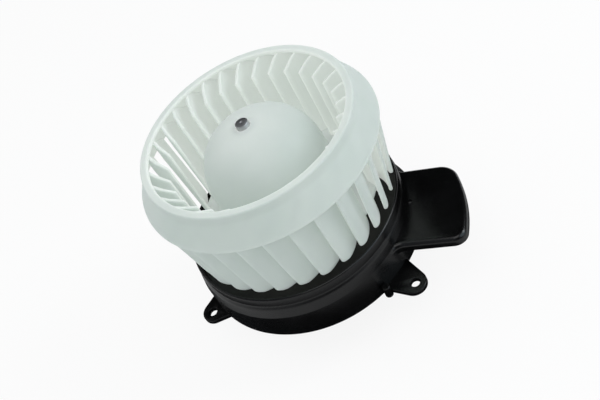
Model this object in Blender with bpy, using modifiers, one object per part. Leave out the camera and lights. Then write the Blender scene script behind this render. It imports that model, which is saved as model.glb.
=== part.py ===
"""Car cabin blower motor: a bladed wheel on a direct-current motor in a moulded mounting base.

The shaft is the Z axis and the flat end of the motor cover lies on Z = 0.
The side wing of the base points along +X. All lengths are in metres.
"""
import math

import bmesh
import bpy
from mathutils import Matrix, Vector

MM = 0.001
GAP = 0.3 * MM

# Motor cover, the cup that closes the motor end
COVER_HEIGHT = 26.0 * MM
COVER_R = 35.5 * MM
COVER_WALL = 2.6 * MM
COVER_FLOOR = 2.2 * MM
COVER_EDGE_ROUND = 3.0 * MM
SUPPORT_RIB_TOP = 14.1 * MM
SUPPORT_RIB_THICKNESS = 1.8 * MM
SUPPORT_RIB_LENGTH = 7.0 * MM
SUPPORT_RIB_ANGLES = (45.0, 135.0, 225.0, 315.0)

# Cover screws, their lugs and their bosses
SCREW_ANGLES = (60.0, 295.0, 125.0)
SCREW_CIRCLE_R = 39.6 * MM
SCREW_SHANK_R = 1.35 * MM
SCREW_LENGTH = 11.0 * MM
SCREW_HEAD_R = 3.2 * MM
SCREW_HEAD_HEIGHT = 2.2 * MM
SCREW_HEAD_TOP_R = 2.4 * MM
SCREW_HEAD_BAND = 1.1 * MM
SCREW_POINT_LENGTH = 1.6 * MM
SCREW_TIP_R = 0.55 * MM
SCREW_TIP_LENGTH = 0.5 * MM
LUG_R = 4.6 * MM
LUG_THICKNESS = 3.0 * MM
LUG_HOLE_R = 1.9 * MM
BOSS_R = 4.2 * MM
BOSS_HEIGHT = 15.0 * MM
PILOT_CLEARANCE = 0.3 * MM

# Connector socket on the cover and its two blades
SOCKET_REACH = 53.0 * MM
SOCKET_WIDTH = 24.0 * MM
SOCKET_HEIGHT = 13.0 * MM
SOCKET_WALL = 1.8 * MM
SOCKET_FLOOR_X = 38.5 * MM
SOCKET_Z = 9.6 * MM
BLADE_TERMINAL_WIDTH = 6.3 * MM
BLADE_TERMINAL_THICKNESS = 0.8 * MM
TERMINAL_SPACING = 10.0 * MM
TERMINAL_TIP_INSET = 3.0 * MM
TERMINAL_RISE_X = 24.0 * MM
TERMINAL_TOP_ABOVE_PLATE = 5.0 * MM

# Mounting base
TUBE_BELOW_SEAT = 7.7 * MM
BASE_WALL = 2.0 * MM
FOOT_R = 73.9 * MM
FOOT_HEIGHT = 18.3 * MM
SHOULDER_R = 70.4 * MM
SHOULDER_RISE = 8.0 * MM
NECK_HEIGHT = 7.3 * MM
LEAN_ANGLE = -112.0
SHOULDER_LEAN = 3.2 * MM
NECK_LEAN = 1.9 * MM
DECK_BELOW_LIP = 7.8 * MM
TUBE_R = 35.9 * MM
TUBE_WALL = 2.2 * MM
TUBE_ABOVE_DECK = 5.0 * MM
TUBE_LIP_WIDTH = 2.5 * MM
TUBE_LIP_THICKNESS = 1.8 * MM
DECK_RIB_COUNT = 6
DECK_RIB_THICKNESS = 1.8 * MM
DECK_RIB_DEPTH = 13.0 * MM
DECK_RIB_PHASE = 0.0

# Wing of the base
WING_NEAR_Y = -28.7 * MM
WING_FAR_Y = 30.3 * MM
WING_REACH = 107.3 * MM
WING_END_R = 100.0 * MM
WING_END_CENTRE_Y = -17.0 * MM
WING_NEAR_CORNER_R = 8.0 * MM
WING_FAR_CORNER_R = 13.0 * MM
WING_NEAR_ROOT_R = 8.0 * MM
WING_FAR_ROOT_R = 4.5 * MM
WING_ROOT_DEPTH = 6.0 * MM
WING_SKIRT = 6.3 * MM
WING_WALL = 2.0 * MM
WING_EDGE_ROUND = 3.4 * MM

# Mounting ears: angle about the shaft, distance of the hole from the shaft
EARS_BEYOND_FOOT = ((-136.5, 6.3 * MM), (-31.5, 13.3 * MM), (96.5, 8.1 * MM))
EAR_THICKNESS = 3.5 * MM
EAR_END_R = 8.0 * MM
EAR_HOLE_OFFSET = 1.3 * MM
EAR_ROOT_HALF_WIDTH = 12.5 * MM
EAR_ROOT_DEPTH = 5.0 * MM
EAR_HOLE_R = 2.9 * MM
PEG_ANGLE = -40.4
PEG_R = 2.5 * MM
PEG_BEYOND_FOOT = 2.0 * MM
PEG_HEIGHT = 7.0 * MM
PEG_BELOW_SEAT = 1.6 * MM
DRAIN_HOLE_ANGLE = 3.0
DRAIN_HOLE_R = 1.5 * MM
DRAIN_HOLE_FROM_WALL = 2.4 * MM

# Impeller
WHEEL_HEIGHT = 71.4 * MM
TIP_R = 66.9 * MM
LIP_BEYOND_TIPS = 0.2 * MM
TIPS_ABOVE_LIP = 1.2 * MM
RING_R = 75.0 * MM
RING_DROP = 19.7 * MM
RING_NECK_DROP = 5.0 * MM
RING_NECK_FLARE = 1.0 * MM
RING_WALL = 1.8 * MM
RIM_R = 66.2 * MM
LIP_R = 61.4 * MM
LIP_THICKNESS = 2.6 * MM
LIP_BEVEL = 0.9 * MM
BLADE_COUNT = 30
BLADE_THICKNESS = 2.1 * MM
BLADE_INNER_R = 52.4 * MM
BLADE_SWEEP = 23.5
BLADE_TURN = 70.0
BLADE_PHASE = -6.0
BLADE_STEPS = 4
BLADE_CORNER_CUT = 2.2 * MM
BLADE_CORNER_HEIGHT = 2.8 * MM
BLADE_SLANT_DROP = 9.9 * MM
HUB_WALL = 2.0 * MM
HUB_CLEARANCE = 5.6 * MM
HUB_CROWN = 37.0 * MM
HUB_CROWN_POWER = 2.4
HUB_TOP_SINK = 0.6 * MM
HUB_DRAFT = 1.0 * MM
HUB_SKIRT_TO_DISC_EDGE = 0.9 * MM
HUB_BOSS_R = 7.6 * MM
HUB_BOSS_LENGTH = 18.0 * MM
DISC_UNDER_BLADES = 3.1 * MM
DISC_ABOVE_TIPS = 4.6 * MM

# Shaft and bearings
SHAFT_R = 4.0 * MM
SHAFT_ABOVE_RIM = 2.4 * MM
SHAFT_CHAMFER = 0.5 * MM
BEARING_R = 7.6 * MM
BEARING_LENGTH = 7.4 * MM
BEARING_CLEARANCE = 0.055 * MM
BEARING_HOUSING_WALL = 1.6 * MM
CLIP_R = 14.5 * MM
CLIP_HOLE_R = 5.2 * MM
CLIP_THICKNESS = 0.8 * MM
WASHER_R = 7.0 * MM
WASHER_THICKNESS = 1.0 * MM

# Motor can, end plate and magnets
CAN_R = 30.0 * MM
CAN_WALL = 2.0 * MM
CAN_LENGTH = 76.0 * MM
CAN_FLANGE_R = 32.0 * MM
CAN_FLANGE_THICKNESS = 1.5 * MM
CAN_CORNER = 1.2 * MM
CAN_WINDOW_WIDTH = 14.0 * MM
CAN_WINDOW_HEIGHT = 9.0 * MM
CAN_WINDOW_ABOVE_PLATE = 14.0 * MM
END_PLATE_THICKNESS = 1.5 * MM
ISOLATOR_HEIGHT = 6.0 * MM
MAGNET_THICKNESS = 5.2 * MM
MAGNET_LENGTH = 40.0 * MM
MAGNET_HALF_ANGLE = 66.0
AIR_GAP = 0.7 * MM
MAGNET_SPRING_STRIP = 0.6 * MM
MAGNET_SPRING_LENGTH = 30.0 * MM
MAGNET_SPRING_LEG = 3.2 * MM

# Armature
CORE_LENGTH = 34.0 * MM
SLOT_COUNT = 12
TOOTH_WIDTH = 3.2 * MM
TOOTH_SHOE = 2.3 * MM
SLOT_MOUTH = 2.0 * MM
CORE_HUB_R = 9.0 * MM
WINDING_OVERHANG = 7.3 * MM
WINDING_INNER_R = 6.0 * MM
WINDING_ROUND = 2.5 * MM
COMMUTATOR_R = 11.0 * MM
COMMUTATOR_LENGTH = 17.7 * MM
COMMUTATOR_GROOVE = 0.8 * MM

# Brush gear
BRUSH_PLATE_THICKNESS = 2.0 * MM
BRUSH_ANGLES = (90.0, 270.0)
BRUSH_WIDTH = 6.2 * MM
BRUSH_HEIGHT = 5.2 * MM
BRUSH_LENGTH = 9.0 * MM
HOLDER_WALL = 0.6 * MM
HOLDER_NOSE_GAP = 1.8 * MM
BRUSH_SPRING_R = 2.0 * MM
BRUSH_SPRING_WIRE_R = 0.35 * MM
BRUSH_SPRING_TURNS = 3.5
CHOKE_ANGLES = (142.0, 218.0)
CHOKE_CIRCLE_R = 20.5 * MM
CHOKE_CORE_R = 2.0 * MM
CHOKE_COIL_R = 3.0 * MM
CHOKE_LENGTH = 13.0 * MM
CHOKE_COIL_LENGTH = 10.2 * MM
CHOKE_TURNS = 5

# Facets round each turned piece
FACETS_WHEEL = 60
FACETS_HUB = 40
FACETS_BASE = 60
FACETS_MOTOR = 40
FACETS_SHAFT = 24
FACETS_SMALL = 16

# Levels along the shaft that follow from the sizes above
SEAT_Z = COVER_HEIGHT + GAP + TUBE_BELOW_SEAT
SHOULDER_Z = SEAT_Z + FOOT_HEIGHT
NECK_Z = SHOULDER_Z + SHOULDER_RISE
BASE_TOP_Z = NECK_Z + NECK_HEIGHT
DECK_Z = BASE_TOP_Z - DECK_BELOW_LIP
TUBE_TOP_Z = DECK_Z + TUBE_ABOVE_DECK
TIP_Z = BASE_TOP_Z + TIPS_ABOVE_LIP
DISC_R = BLADE_INNER_R + DISC_UNDER_BLADES
RIM_Z = TIP_Z + WHEEL_HEIGHT
RING_FOOT_Z = RIM_Z - RING_DROP
RING_NECK_R = RIM_R + RING_NECK_FLARE
RING_NECK_Z = RIM_Z - RING_NECK_DROP
END_PLATE_Z = SUPPORT_RIB_TOP + GAP
END_PLATE_TOP_Z = END_PLATE_Z + END_PLATE_THICKNESS
CAN_Z = END_PLATE_TOP_Z + GAP
CAN_TOP_Z = CAN_Z + CAN_LENGTH
CAN_CEILING_Z = CAN_TOP_Z - CAN_WALL
POCKET_DEPTH = BEARING_LENGTH + GAP
POCKET_R = BEARING_R + GAP
HOUSING_R = POCKET_R + BEARING_HOUSING_WALL
TUBE_INNER_R = TUBE_R - TUBE_WALL
CAN_INNER_R = CAN_R - CAN_WALL
NECK_R = TIP_R + LIP_BEYOND_TIPS + BASE_WALL
MAGNET_R = CAN_INNER_R - GAP
CORE_R = MAGNET_R - MAGNET_THICKNESS - AIR_GAP
LOWER_CLIP_Z = END_PLATE_TOP_Z + GAP
LOWER_WASHER_Z = LOWER_CLIP_Z + CLIP_THICKNESS + GAP
COMMUTATOR_Z = LOWER_WASHER_Z + WASHER_THICKNESS + GAP
LOWER_WINDING_Z = COMMUTATOR_Z + COMMUTATOR_LENGTH + GAP
CORE_Z = LOWER_WINDING_Z + WINDING_OVERHANG + GAP
CORE_TOP_Z = CORE_Z + CORE_LENGTH
UPPER_WINDING_TOP_Z = CORE_TOP_Z + GAP + WINDING_OVERHANG
UPPER_CLIP_Z = CAN_CEILING_Z - GAP - CLIP_THICKNESS
UPPER_WASHER_Z = UPPER_CLIP_Z - GAP - WASHER_THICKNESS
SHAFT_Z = END_PLATE_TOP_Z - POCKET_DEPTH + GAP
HUB_R = CAN_R + HUB_CLEARANCE + HUB_WALL
HUB_SKIRT_R = DISC_R - HUB_SKIRT_TO_DISC_EDGE - HUB_R - HUB_DRAFT
BRUSH_PLATE_Z = END_PLATE_TOP_Z + GAP
HOLDER_Z = BRUSH_PLATE_Z + BRUSH_PLATE_THICKNESS + GAP


def clear_scene():
    for item in list(bpy.data.objects):
        bpy.data.objects.remove(item, do_unlink=True)


def make_collection(name):
    collection = bpy.data.collections.new(name)
    bpy.context.scene.collection.children.link(collection)
    return collection


clear_scene()
PARTS = make_collection("cabin_blower_motor")
CUTTERS = make_collection("cutters")


def polar(radius, degrees, z=0.0):
    """Point at a distance from the shaft and an angle about it."""
    angle = math.radians(degrees)
    return Vector((radius * math.cos(angle), radius * math.sin(angle), z))


def on_circle(radius, degrees):
    """The same point as a pair, for a flat outline."""
    point = polar(radius, degrees)
    return point.x, point.y


def turned_about_shaft(degrees):
    return Matrix.Rotation(math.radians(degrees), 4, "Z")


def material(name, colour, roughness, metallic=0.0):
    finish = bpy.data.materials.new(name)
    finish.use_nodes = True
    shader = finish.node_tree.nodes["Principled BSDF"]
    shader.inputs["Base Color"].default_value = (*colour, 1.0)
    shader.inputs["Roughness"].default_value = roughness
    shader.inputs["Metallic"].default_value = metallic
    return finish


def add_object(name, mesh, collection=None):
    item = bpy.data.objects.new(name, mesh)
    (collection or PARTS).objects.link(item)
    return item


def smooth(item, degrees=32.0):
    item.data.shade_smooth()
    item.data.set_sharp_from_angle(angle=math.radians(degrees))


def finish_part(item, colour_material):
    item.data.materials.clear()
    item.data.materials.append(colour_material)
    smooth(item)
    return item


def evaluated_mesh(item):
    """Mesh of an object as its modifiers or curve settings leave it, with its caps welded."""
    bpy.context.view_layer.update()
    shape = item.evaluated_get(bpy.context.evaluated_depsgraph_get())
    mesh = bpy.data.meshes.new_from_object(shape)
    mesh.transform(item.matrix_world)
    builder = bmesh.new()
    builder.from_mesh(mesh)
    bmesh.ops.remove_doubles(builder, verts=builder.verts, dist=0.00001)
    builder.to_mesh(mesh)
    builder.free()
    return mesh


def turned(name, profile, facets, closed=True, collection=None):
    """Solid of revolution: the profile runs outwards along its top and down its outer side."""
    mesh = bpy.data.meshes.new(name)
    count = len(profile)
    edges = [(i, i + 1) for i in range(count - 1)]
    if closed:
        edges.append((count - 1, 0))
    mesh.from_pydata([(r, 0.0, z) for r, z in profile], edges, [])
    item = add_object(name, mesh, collection)
    screw = item.modifiers.new("turn", "SCREW")
    screw.axis = "Z"
    screw.angle = math.tau
    screw.steps = facets
    screw.render_steps = facets
    screw.use_merge_vertices = True
    screw.merge_threshold = 0.00001
    screw.use_normal_calculate = False
    screw.use_smooth_shade = False
    solid = evaluated_mesh(item)
    bpy.data.objects.remove(item, do_unlink=True)
    return add_object(name, solid, collection)


def prism(name, outline, z_low, z_high, collection=None, place=None):
    """Flat outline in X and Y, thick from one level to another, then moved by a matrix."""
    curve = bpy.data.curves.new(name, "CURVE")
    curve.dimensions = "2D"
    curve.fill_mode = "BOTH"
    curve.extrude = (z_high - z_low) / 2
    spline = curve.splines.new("POLY")
    spline.points.add(len(outline) - 1)
    for point, (x, y) in zip(spline.points, outline):
        point.co = (x, y, 0.0, 1.0)
    spline.use_cyclic_u = True
    item = add_object(name, curve, collection)
    item.location.z = (z_low + z_high) / 2
    solid = evaluated_mesh(item)
    bpy.data.objects.remove(item, do_unlink=True)
    if place is not None:
        solid.transform(place)
    return add_object(name, solid, collection)


def block(name, low, high, collection=None, place=None):
    """Box between two corners."""
    low = Vector(low)
    high = Vector(high)
    builder = bmesh.new()
    bmesh.ops.create_cube(builder, size=1.0)
    size = high - low
    bmesh.ops.scale(builder, vec=size, verts=builder.verts)
    bmesh.ops.translate(builder, vec=(low + high) / 2, verts=builder.verts)
    mesh = bpy.data.meshes.new(name)
    builder.to_mesh(mesh)
    builder.free()
    if place is not None:
        mesh.transform(place)
    return add_object(name, mesh, collection)


def rod(name, radius, z_low, z_high, facets, centre=(0.0, 0.0), collection=None):
    """Upright cylinder."""
    builder = bmesh.new()
    bmesh.ops.create_cone(
        builder, cap_ends=True, segments=facets, radius1=radius, radius2=radius,
        depth=z_high - z_low)
    place = Vector((centre[0], centre[1], (z_low + z_high) / 2))
    bmesh.ops.translate(builder, vec=place, verts=builder.verts)
    mesh = bpy.data.meshes.new(name)
    builder.to_mesh(mesh)
    builder.free()
    return add_object(name, mesh, collection)


def joined(name, items, collection=None):
    """One object that holds the meshes of several."""
    builder = bmesh.new()
    for item in items:
        builder.from_mesh(item.data)
        bpy.data.objects.remove(item, do_unlink=True)
    mesh = bpy.data.meshes.new(name)
    builder.to_mesh(mesh)
    builder.free()
    return add_object(name, mesh, collection)


def boolean(target, tool, operation):
    """Cut or join with a tool that stays in the cutters collection."""
    for collection in list(tool.users_collection):
        collection.objects.unlink(tool)
    CUTTERS.objects.link(tool)
    tool.hide_render = True
    tool.display_type = "WIRE"
    modifier = target.modifiers.new(tool.name, "BOOLEAN")
    modifier.operation = operation
    modifier.object = tool
    modifier.solver = "EXACT"


def arc(centre, radius, start, end, steps):
    """Points of an arc in a plane, angles in degrees."""
    points = []
    for i in range(steps + 1):
        angle = math.radians(start + (end - start) * i / steps)
        points.append((centre[0] + radius * math.cos(angle), centre[1] + radius * math.sin(angle)))
    return points


def ring_profile(inner_r, outer_r, z_low, z_high):
    """Closed section of a plain ring."""
    return [(inner_r, z_high), (outer_r, z_high), (outer_r, z_low), (inner_r, z_low)]


def between(level, low, low_value, high, high_value):
    """Value at a level, on the straight line between its values at two other levels."""
    return low_value + (high_value - low_value) * (level - low) / (high - low)


# Impeller

def blade_arc(outer_r, share):
    """Middle line of a blade at one level: its point and its outward side at a share from -1 to 1."""
    inner = polar(BLADE_INNER_R, BLADE_SWEEP).xy
    outer = polar(outer_r, 0.0).xy
    along = (outer - inner).normalized()
    side = Vector((-along.y, along.x))
    half_turn = math.radians(BLADE_TURN / 2)
    radius = (outer - inner).length / (2 * math.sin(half_turn))
    turn = half_turn * share
    middle = (inner + outer) / 2
    point = middle + along * radius * math.sin(turn)
    point += side * radius * (math.cos(turn) - math.cos(half_turn))
    return point, along * math.sin(turn) + side * math.cos(turn)


def blade_share_at(outer_r, radius):
    """Share of a blade's middle line at which it reaches a distance from the shaft."""
    low = -1.0
    high = 1.0
    for _ in range(40):
        middle = (low + high) / 2
        if blade_arc(outer_r, middle)[0].length < radius:
            low = middle
        else:
            high = middle
    return (low + high) / 2


def blade_section(arc_outer_r, inner_r, outer_r, z):
    """Outline of a blade across the shaft, from one distance to another."""
    first = blade_share_at(arc_outer_r, inner_r)
    last = blade_share_at(arc_outer_r, outer_r)
    half = BLADE_THICKNESS / 2
    front = []
    back = []
    for i in range(BLADE_STEPS + 1):
        point, side = blade_arc(arc_outer_r, first + (last - first) * i / BLADE_STEPS)
        front.append(point + side * half)
        back.append(point - side * half)
    outline = front + back[::-1]
    return [Vector((p.x, p.y, z)) for p in outline]


def loft(builder, sections):
    """Closed solid through sections of equal point counts, lowest first."""
    rings = [[builder.verts.new(point) for point in section] for section in sections]
    count = len(rings[0])
    for low, high in zip(rings, rings[1:]):
        for i in range(count):
            j = (i + 1) % count
            builder.faces.new((low[i], high[i], high[j], low[j]))
    builder.faces.new(rings[0])
    builder.faces.new(rings[-1][::-1])


def impeller_blades():
    """Every blade: a free tip with a cut corner, widest under the ring, hooked into the lip."""
    half_wall = RING_WALL / 2
    ring_middle_r = RING_R - half_wall
    neck_middle_r = RING_NECK_R - half_wall
    lip_middle_z = RIM_Z - LIP_THICKNESS / 2
    lip_inner_r = LIP_R + half_wall
    ring_z = RING_FOOT_Z + RING_WALL
    slant_z = RIM_Z - BLADE_SLANT_DROP
    slant_r = between(slant_z, ring_z, ring_middle_r, RING_NECK_Z, neck_middle_r)
    neck_inner_r = between(RING_NECK_Z, slant_z, BLADE_INNER_R, lip_middle_z, lip_inner_r)
    corner_z = TIP_Z + BLADE_CORNER_HEIGHT
    corner_r = between(corner_z, TIP_Z, TIP_R, ring_z, ring_middle_r)
    sections = [
        blade_section(TIP_R, BLADE_INNER_R, TIP_R - BLADE_CORNER_CUT, TIP_Z),
        blade_section(corner_r, BLADE_INNER_R, corner_r, corner_z),
        blade_section(ring_middle_r, BLADE_INNER_R, ring_middle_r, ring_z),
        blade_section(ring_middle_r, BLADE_INNER_R, slant_r, slant_z),
        blade_section(ring_middle_r, neck_inner_r, neck_middle_r, RING_NECK_Z),
        blade_section(ring_middle_r, lip_inner_r, RIM_R - half_wall, lip_middle_z),
    ]
    builder = bmesh.new()
    for index in range(BLADE_COUNT):
        turn = turned_about_shaft(BLADE_PHASE + 360.0 * index / BLADE_COUNT)
        loft(builder, [[turn @ point for point in section] for section in sections])
    bmesh.ops.recalc_face_normals(builder, faces=builder.faces)
    mesh = bpy.data.meshes.new("impeller_blades")
    builder.to_mesh(mesh)
    builder.free()
    return add_object("impeller_blades", mesh)


def impeller_ring():
    """Flared ring that ties the blades at the inlet, with a flat lip round the mouth."""
    profile = [
        (LIP_R, RIM_Z - LIP_BEVEL),
        (LIP_R + LIP_BEVEL, RIM_Z),
        (RIM_R - LIP_BEVEL, RIM_Z),
        (RIM_R, RIM_Z - LIP_BEVEL),
        (RING_NECK_R, RING_NECK_Z),
        (RING_R, RING_FOOT_Z + RING_WALL),
        (RING_R, RING_FOOT_Z),
        (RING_R - RING_WALL, RING_FOOT_Z),
        (RING_R - RING_WALL, RING_FOOT_Z + RING_WALL),
        (RING_NECK_R - RING_WALL, RING_NECK_Z),
        (RIM_R - RING_WALL, RIM_Z - LIP_THICKNESS),
        (LIP_R, RIM_Z - LIP_THICKNESS),
    ]
    return turned("impeller_ring", profile, FACETS_WHEEL)


def crown_z(radius, outer_r, top_z, crown):
    """Height of the hub's domed top at a distance from the shaft."""
    share = min(radius / outer_r, 1.0)
    rise = (1.0 - share ** HUB_CROWN_POWER) ** (1.0 / HUB_CROWN_POWER)
    return top_z - crown * (1.0 - rise)


def crown_points(outer_r, top_z, crown, first_r, steps):
    """Points down the domed top, closer together where it curves most."""
    points = []
    for i in range(steps + 1):
        share = math.sin(math.pi / 2 * i / steps)
        radius = first_r + (outer_r - first_r) * share
        points.append((radius, crown_z(radius, outer_r, top_z, crown)))
    return points


def impeller_hub():
    """Tall domed hub over the motor, its skirt spreading into the disc under the blades."""
    top_z = RIM_Z - HUB_TOP_SINK
    disc_top = TIP_Z + DISC_ABOVE_TIPS + HUB_WALL
    skirt_centre = (HUB_R + HUB_DRAFT + HUB_SKIRT_R, disc_top + HUB_SKIRT_R)
    outer = [(HUB_BOSS_R - HUB_WALL, top_z + HUB_TOP_SINK)]
    outer += crown_points(HUB_R, top_z, HUB_CROWN, HUB_BOSS_R, 6)
    outer += arc(skirt_centre, HUB_SKIRT_R, 180.0, 270.0, 4)
    outer += [(DISC_R, disc_top), (DISC_R, disc_top - HUB_WALL)]
    inner_r = HUB_R - HUB_WALL
    inner = arc(skirt_centre, HUB_SKIRT_R + HUB_WALL, 270.0, 180.0, 3)
    inner += crown_points(inner_r, top_z - HUB_WALL, HUB_CROWN - HUB_WALL, HUB_BOSS_R, 4)[::-1]
    boss_foot = RIM_Z - HUB_BOSS_LENGTH
    bore_r = SHAFT_R + GAP
    inner += [(HUB_BOSS_R, boss_foot), (bore_r, boss_foot), (bore_r, top_z + HUB_TOP_SINK)]
    return turned("impeller", outer + inner, FACETS_HUB)


def build_impeller():
    hub = impeller_hub()
    boolean(hub, impeller_blades(), "UNION")
    boolean(hub, impeller_ring(), "UNION")
    return finish_part(hub, material("milky_plastic", (0.80, 0.84, 0.82), 0.42))


# Mounting base

def lean_at(z):
    """How far the outer wall has moved off the shaft's axis at a level: none at the foot."""
    if z <= SHOULDER_Z:
        size = SHOULDER_LEAN * (z - SEAT_Z) / FOOT_HEIGHT
    elif z <= NECK_Z:
        size = SHOULDER_LEAN + (NECK_LEAN - SHOULDER_LEAN) * (z - SHOULDER_Z) / SHOULDER_RISE
    else:
        size = NECK_LEAN
    return polar(size, LEAN_ANGLE)


def lean_towards(z, degrees):
    """Part of the lean that points along an angle about the shaft."""
    return lean_at(z).dot(polar(1.0, degrees))


def base_body():
    """Turned part of the base: foot wall, shoulder, neck, deck and motor tube."""
    deck_under = DECK_Z - BASE_WALL
    lip_inner = NECK_R - BASE_WALL
    tube_foot = SEAT_Z - TUBE_BELOW_SEAT
    lip_under = TUBE_TOP_Z - TUBE_LIP_THICKNESS
    round_r = BASE_WALL / 2
    profile = [(TUBE_INNER_R - TUBE_LIP_WIDTH, TUBE_TOP_Z), (TUBE_R, TUBE_TOP_Z), (TUBE_R, DECK_Z)]
    profile += [(lip_inner, DECK_Z)]
    profile += arc((lip_inner + round_r, BASE_TOP_Z - round_r), round_r, 180.0, 0.0, 3)
    profile += [(NECK_R, NECK_Z + round_r), (NECK_R + round_r / 2, NECK_Z)]
    profile += [(SHOULDER_R - round_r / 2, SHOULDER_Z + round_r * 2), (SHOULDER_R, SHOULDER_Z)]
    profile += [(FOOT_R, SEAT_Z), (FOOT_R - BASE_WALL, SEAT_Z)]
    profile += [(SHOULDER_R - BASE_WALL, SHOULDER_Z), (lip_inner, deck_under)]
    profile += [(TUBE_R, deck_under), (TUBE_R, tube_foot), (TUBE_INNER_R, tube_foot)]
    profile += [(TUBE_INNER_R, lip_under), (TUBE_INNER_R - TUBE_LIP_WIDTH, lip_under)]
    body = turned("mounting_base", profile, FACETS_BASE)
    wall_from = (TUBE_R + lip_inner) / 2
    for vertex in body.data.vertices:
        if vertex.co.xy.length > wall_from:
            vertex.co += lean_at(vertex.co.z)
    return body


def foot_wall_radius(z):
    """Outer radius of the foot wall at a level, about its own leaning middle."""
    share = (z - SEAT_Z) / FOOT_HEIGHT
    return FOOT_R + (SHOULDER_R - FOOT_R) * share


def wing_outline():
    """Plan of the wing, from its root on one side round to the other."""
    level = SHOULDER_Z - WING_SKIRT / 2
    middle = lean_at(level)
    wall_r = foot_wall_radius(level)
    near_reach = wall_r + WING_NEAR_ROOT_R
    far_reach = wall_r + WING_FAR_ROOT_R
    near_centre_y = WING_NEAR_Y - WING_NEAR_ROOT_R
    far_centre_y = WING_FAR_Y + WING_FAR_ROOT_R
    near_centre_x = middle.x + math.sqrt(near_reach ** 2 - (near_centre_y - middle.y) ** 2)
    far_centre_x = middle.x + math.sqrt(far_reach ** 2 - (far_centre_y - middle.y) ** 2)
    near_angle = math.degrees(math.atan2(near_centre_y - middle.y, near_centre_x - middle.x))
    far_angle = math.degrees(math.atan2(far_centre_y - middle.y, far_centre_x - middle.x))
    inside_r = wall_r - WING_ROOT_DEPTH
    near_inside = middle + polar(inside_r, near_angle)
    far_inside = middle + polar(inside_r, far_angle)
    end_x = WING_REACH - WING_END_R
    near_corner_y = WING_NEAR_Y + WING_NEAR_CORNER_R
    far_corner_y = WING_FAR_Y - WING_FAR_CORNER_R
    near_span = WING_END_R - WING_NEAR_CORNER_R
    far_span = WING_END_R - WING_FAR_CORNER_R
    near_rise = near_corner_y - WING_END_CENTRE_Y
    far_rise = far_corner_y - WING_END_CENTRE_Y
    near_corner = (end_x + math.sqrt(near_span ** 2 - near_rise ** 2), near_corner_y)
    far_corner = (end_x + math.sqrt(far_span ** 2 - far_rise ** 2), far_corner_y)
    near_meet = math.degrees(math.asin(near_rise / near_span))
    far_meet = math.degrees(math.asin(far_rise / far_span))
    outline = [(near_inside.x, near_inside.y)]
    outline += arc((near_centre_x, near_centre_y), WING_NEAR_ROOT_R, near_angle + 180.0, 90.0, 4)
    outline += arc(near_corner, WING_NEAR_CORNER_R, -90.0, near_meet, 6)
    outline += arc((end_x, WING_END_CENTRE_Y), WING_END_R, near_meet, far_meet, 4)[1:-1]
    outline += arc(far_corner, WING_FAR_CORNER_R, far_meet, 90.0, 6)
    outline += arc((far_centre_x, far_centre_y), WING_FAR_ROOT_R, -90.0, far_angle - 180.0, 2)
    outline += [(far_inside.x, far_inside.y)]
    return outline


def wing_shell():
    """Wing as a tray turned over: a flat top, a rolled edge and a short skirt."""
    outline = wing_outline()
    count = len(outline)
    vertices = [(x, y, SHOULDER_Z) for x, y in outline]
    vertices += [(x, y, SHOULDER_Z - WING_SKIRT) for x, y in outline]
    faces = [tuple(range(count))]
    for i in range(count):
        j = (i + 1) % count
        faces.append((i, i + count, j + count, j))
    mesh = bpy.data.meshes.new("wing")
    mesh.from_pydata(vertices, [], faces)
    item = add_object("wing", mesh)
    weights = mesh.attributes.new("bevel_weight_edge", "FLOAT", "EDGE")
    for edge in mesh.edges:
        on_top = edge.vertices[0] < count and edge.vertices[1] < count
        weights.data[edge.index].value = 1.0 if on_top else 0.0
    bevel = item.modifiers.new("rolled_edge", "BEVEL")
    bevel.limit_method = "WEIGHT"
    bevel.width = WING_EDGE_ROUND
    bevel.segments = 3
    thick = item.modifiers.new("wall", "SOLIDIFY")
    thick.thickness = WING_WALL
    thick.offset = -1.0
    thick.use_even_offset = True
    solid = evaluated_mesh(item)
    bpy.data.objects.remove(item, do_unlink=True)
    return add_object("wing", solid)


def ear_outline(hole_r):
    """Plan of an ear that points along +X: a round end on a root that widens to the wall."""
    end_x = hole_r - EAR_HOLE_OFFSET
    root_x = FOOT_R - EAR_ROOT_DEPTH
    outline = [(root_x, -EAR_ROOT_HALF_WIDTH)]
    outline += arc((end_x, 0.0), EAR_END_R, -75.0, 75.0, 8)
    outline += [(root_x, EAR_ROOT_HALF_WIDTH)]
    return outline


def rib_outline(degrees):
    """Side view of a deck rib at an angle: distance from the shaft and height."""
    low = DECK_Z - BASE_WALL - DECK_RIB_DEPTH
    inner_r = TUBE_R - TUBE_WALL / 2
    deck_middle = DECK_Z - BASE_WALL / 2
    half_wall = BASE_WALL / 2
    low_r = foot_wall_radius(low) - half_wall + lean_towards(low, degrees)
    shoulder_r = SHOULDER_R - half_wall + lean_towards(SHOULDER_Z, degrees)
    neck_r = NECK_R - half_wall * 2 + lean_towards(deck_middle, degrees)
    return [
        (inner_r, low),
        (low_r, low),
        (shoulder_r, SHOULDER_Z),
        (neck_r, deck_middle),
        (inner_r, deck_middle),
    ]


def upright(degrees):
    """Matrix that stands a flat outline up in the plane through the shaft at an angle."""
    return turned_about_shaft(degrees) @ Matrix.Rotation(math.pi / 2, 4, "X")


def wall_trim(name, level):
    """Drum that ends half way through the foot wall at a level."""
    centre = lean_at(level)
    return rod(name, foot_wall_radius(level) - BASE_WALL / 2, 0.0, BASE_TOP_Z, FACETS_BASE, centre)


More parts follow.
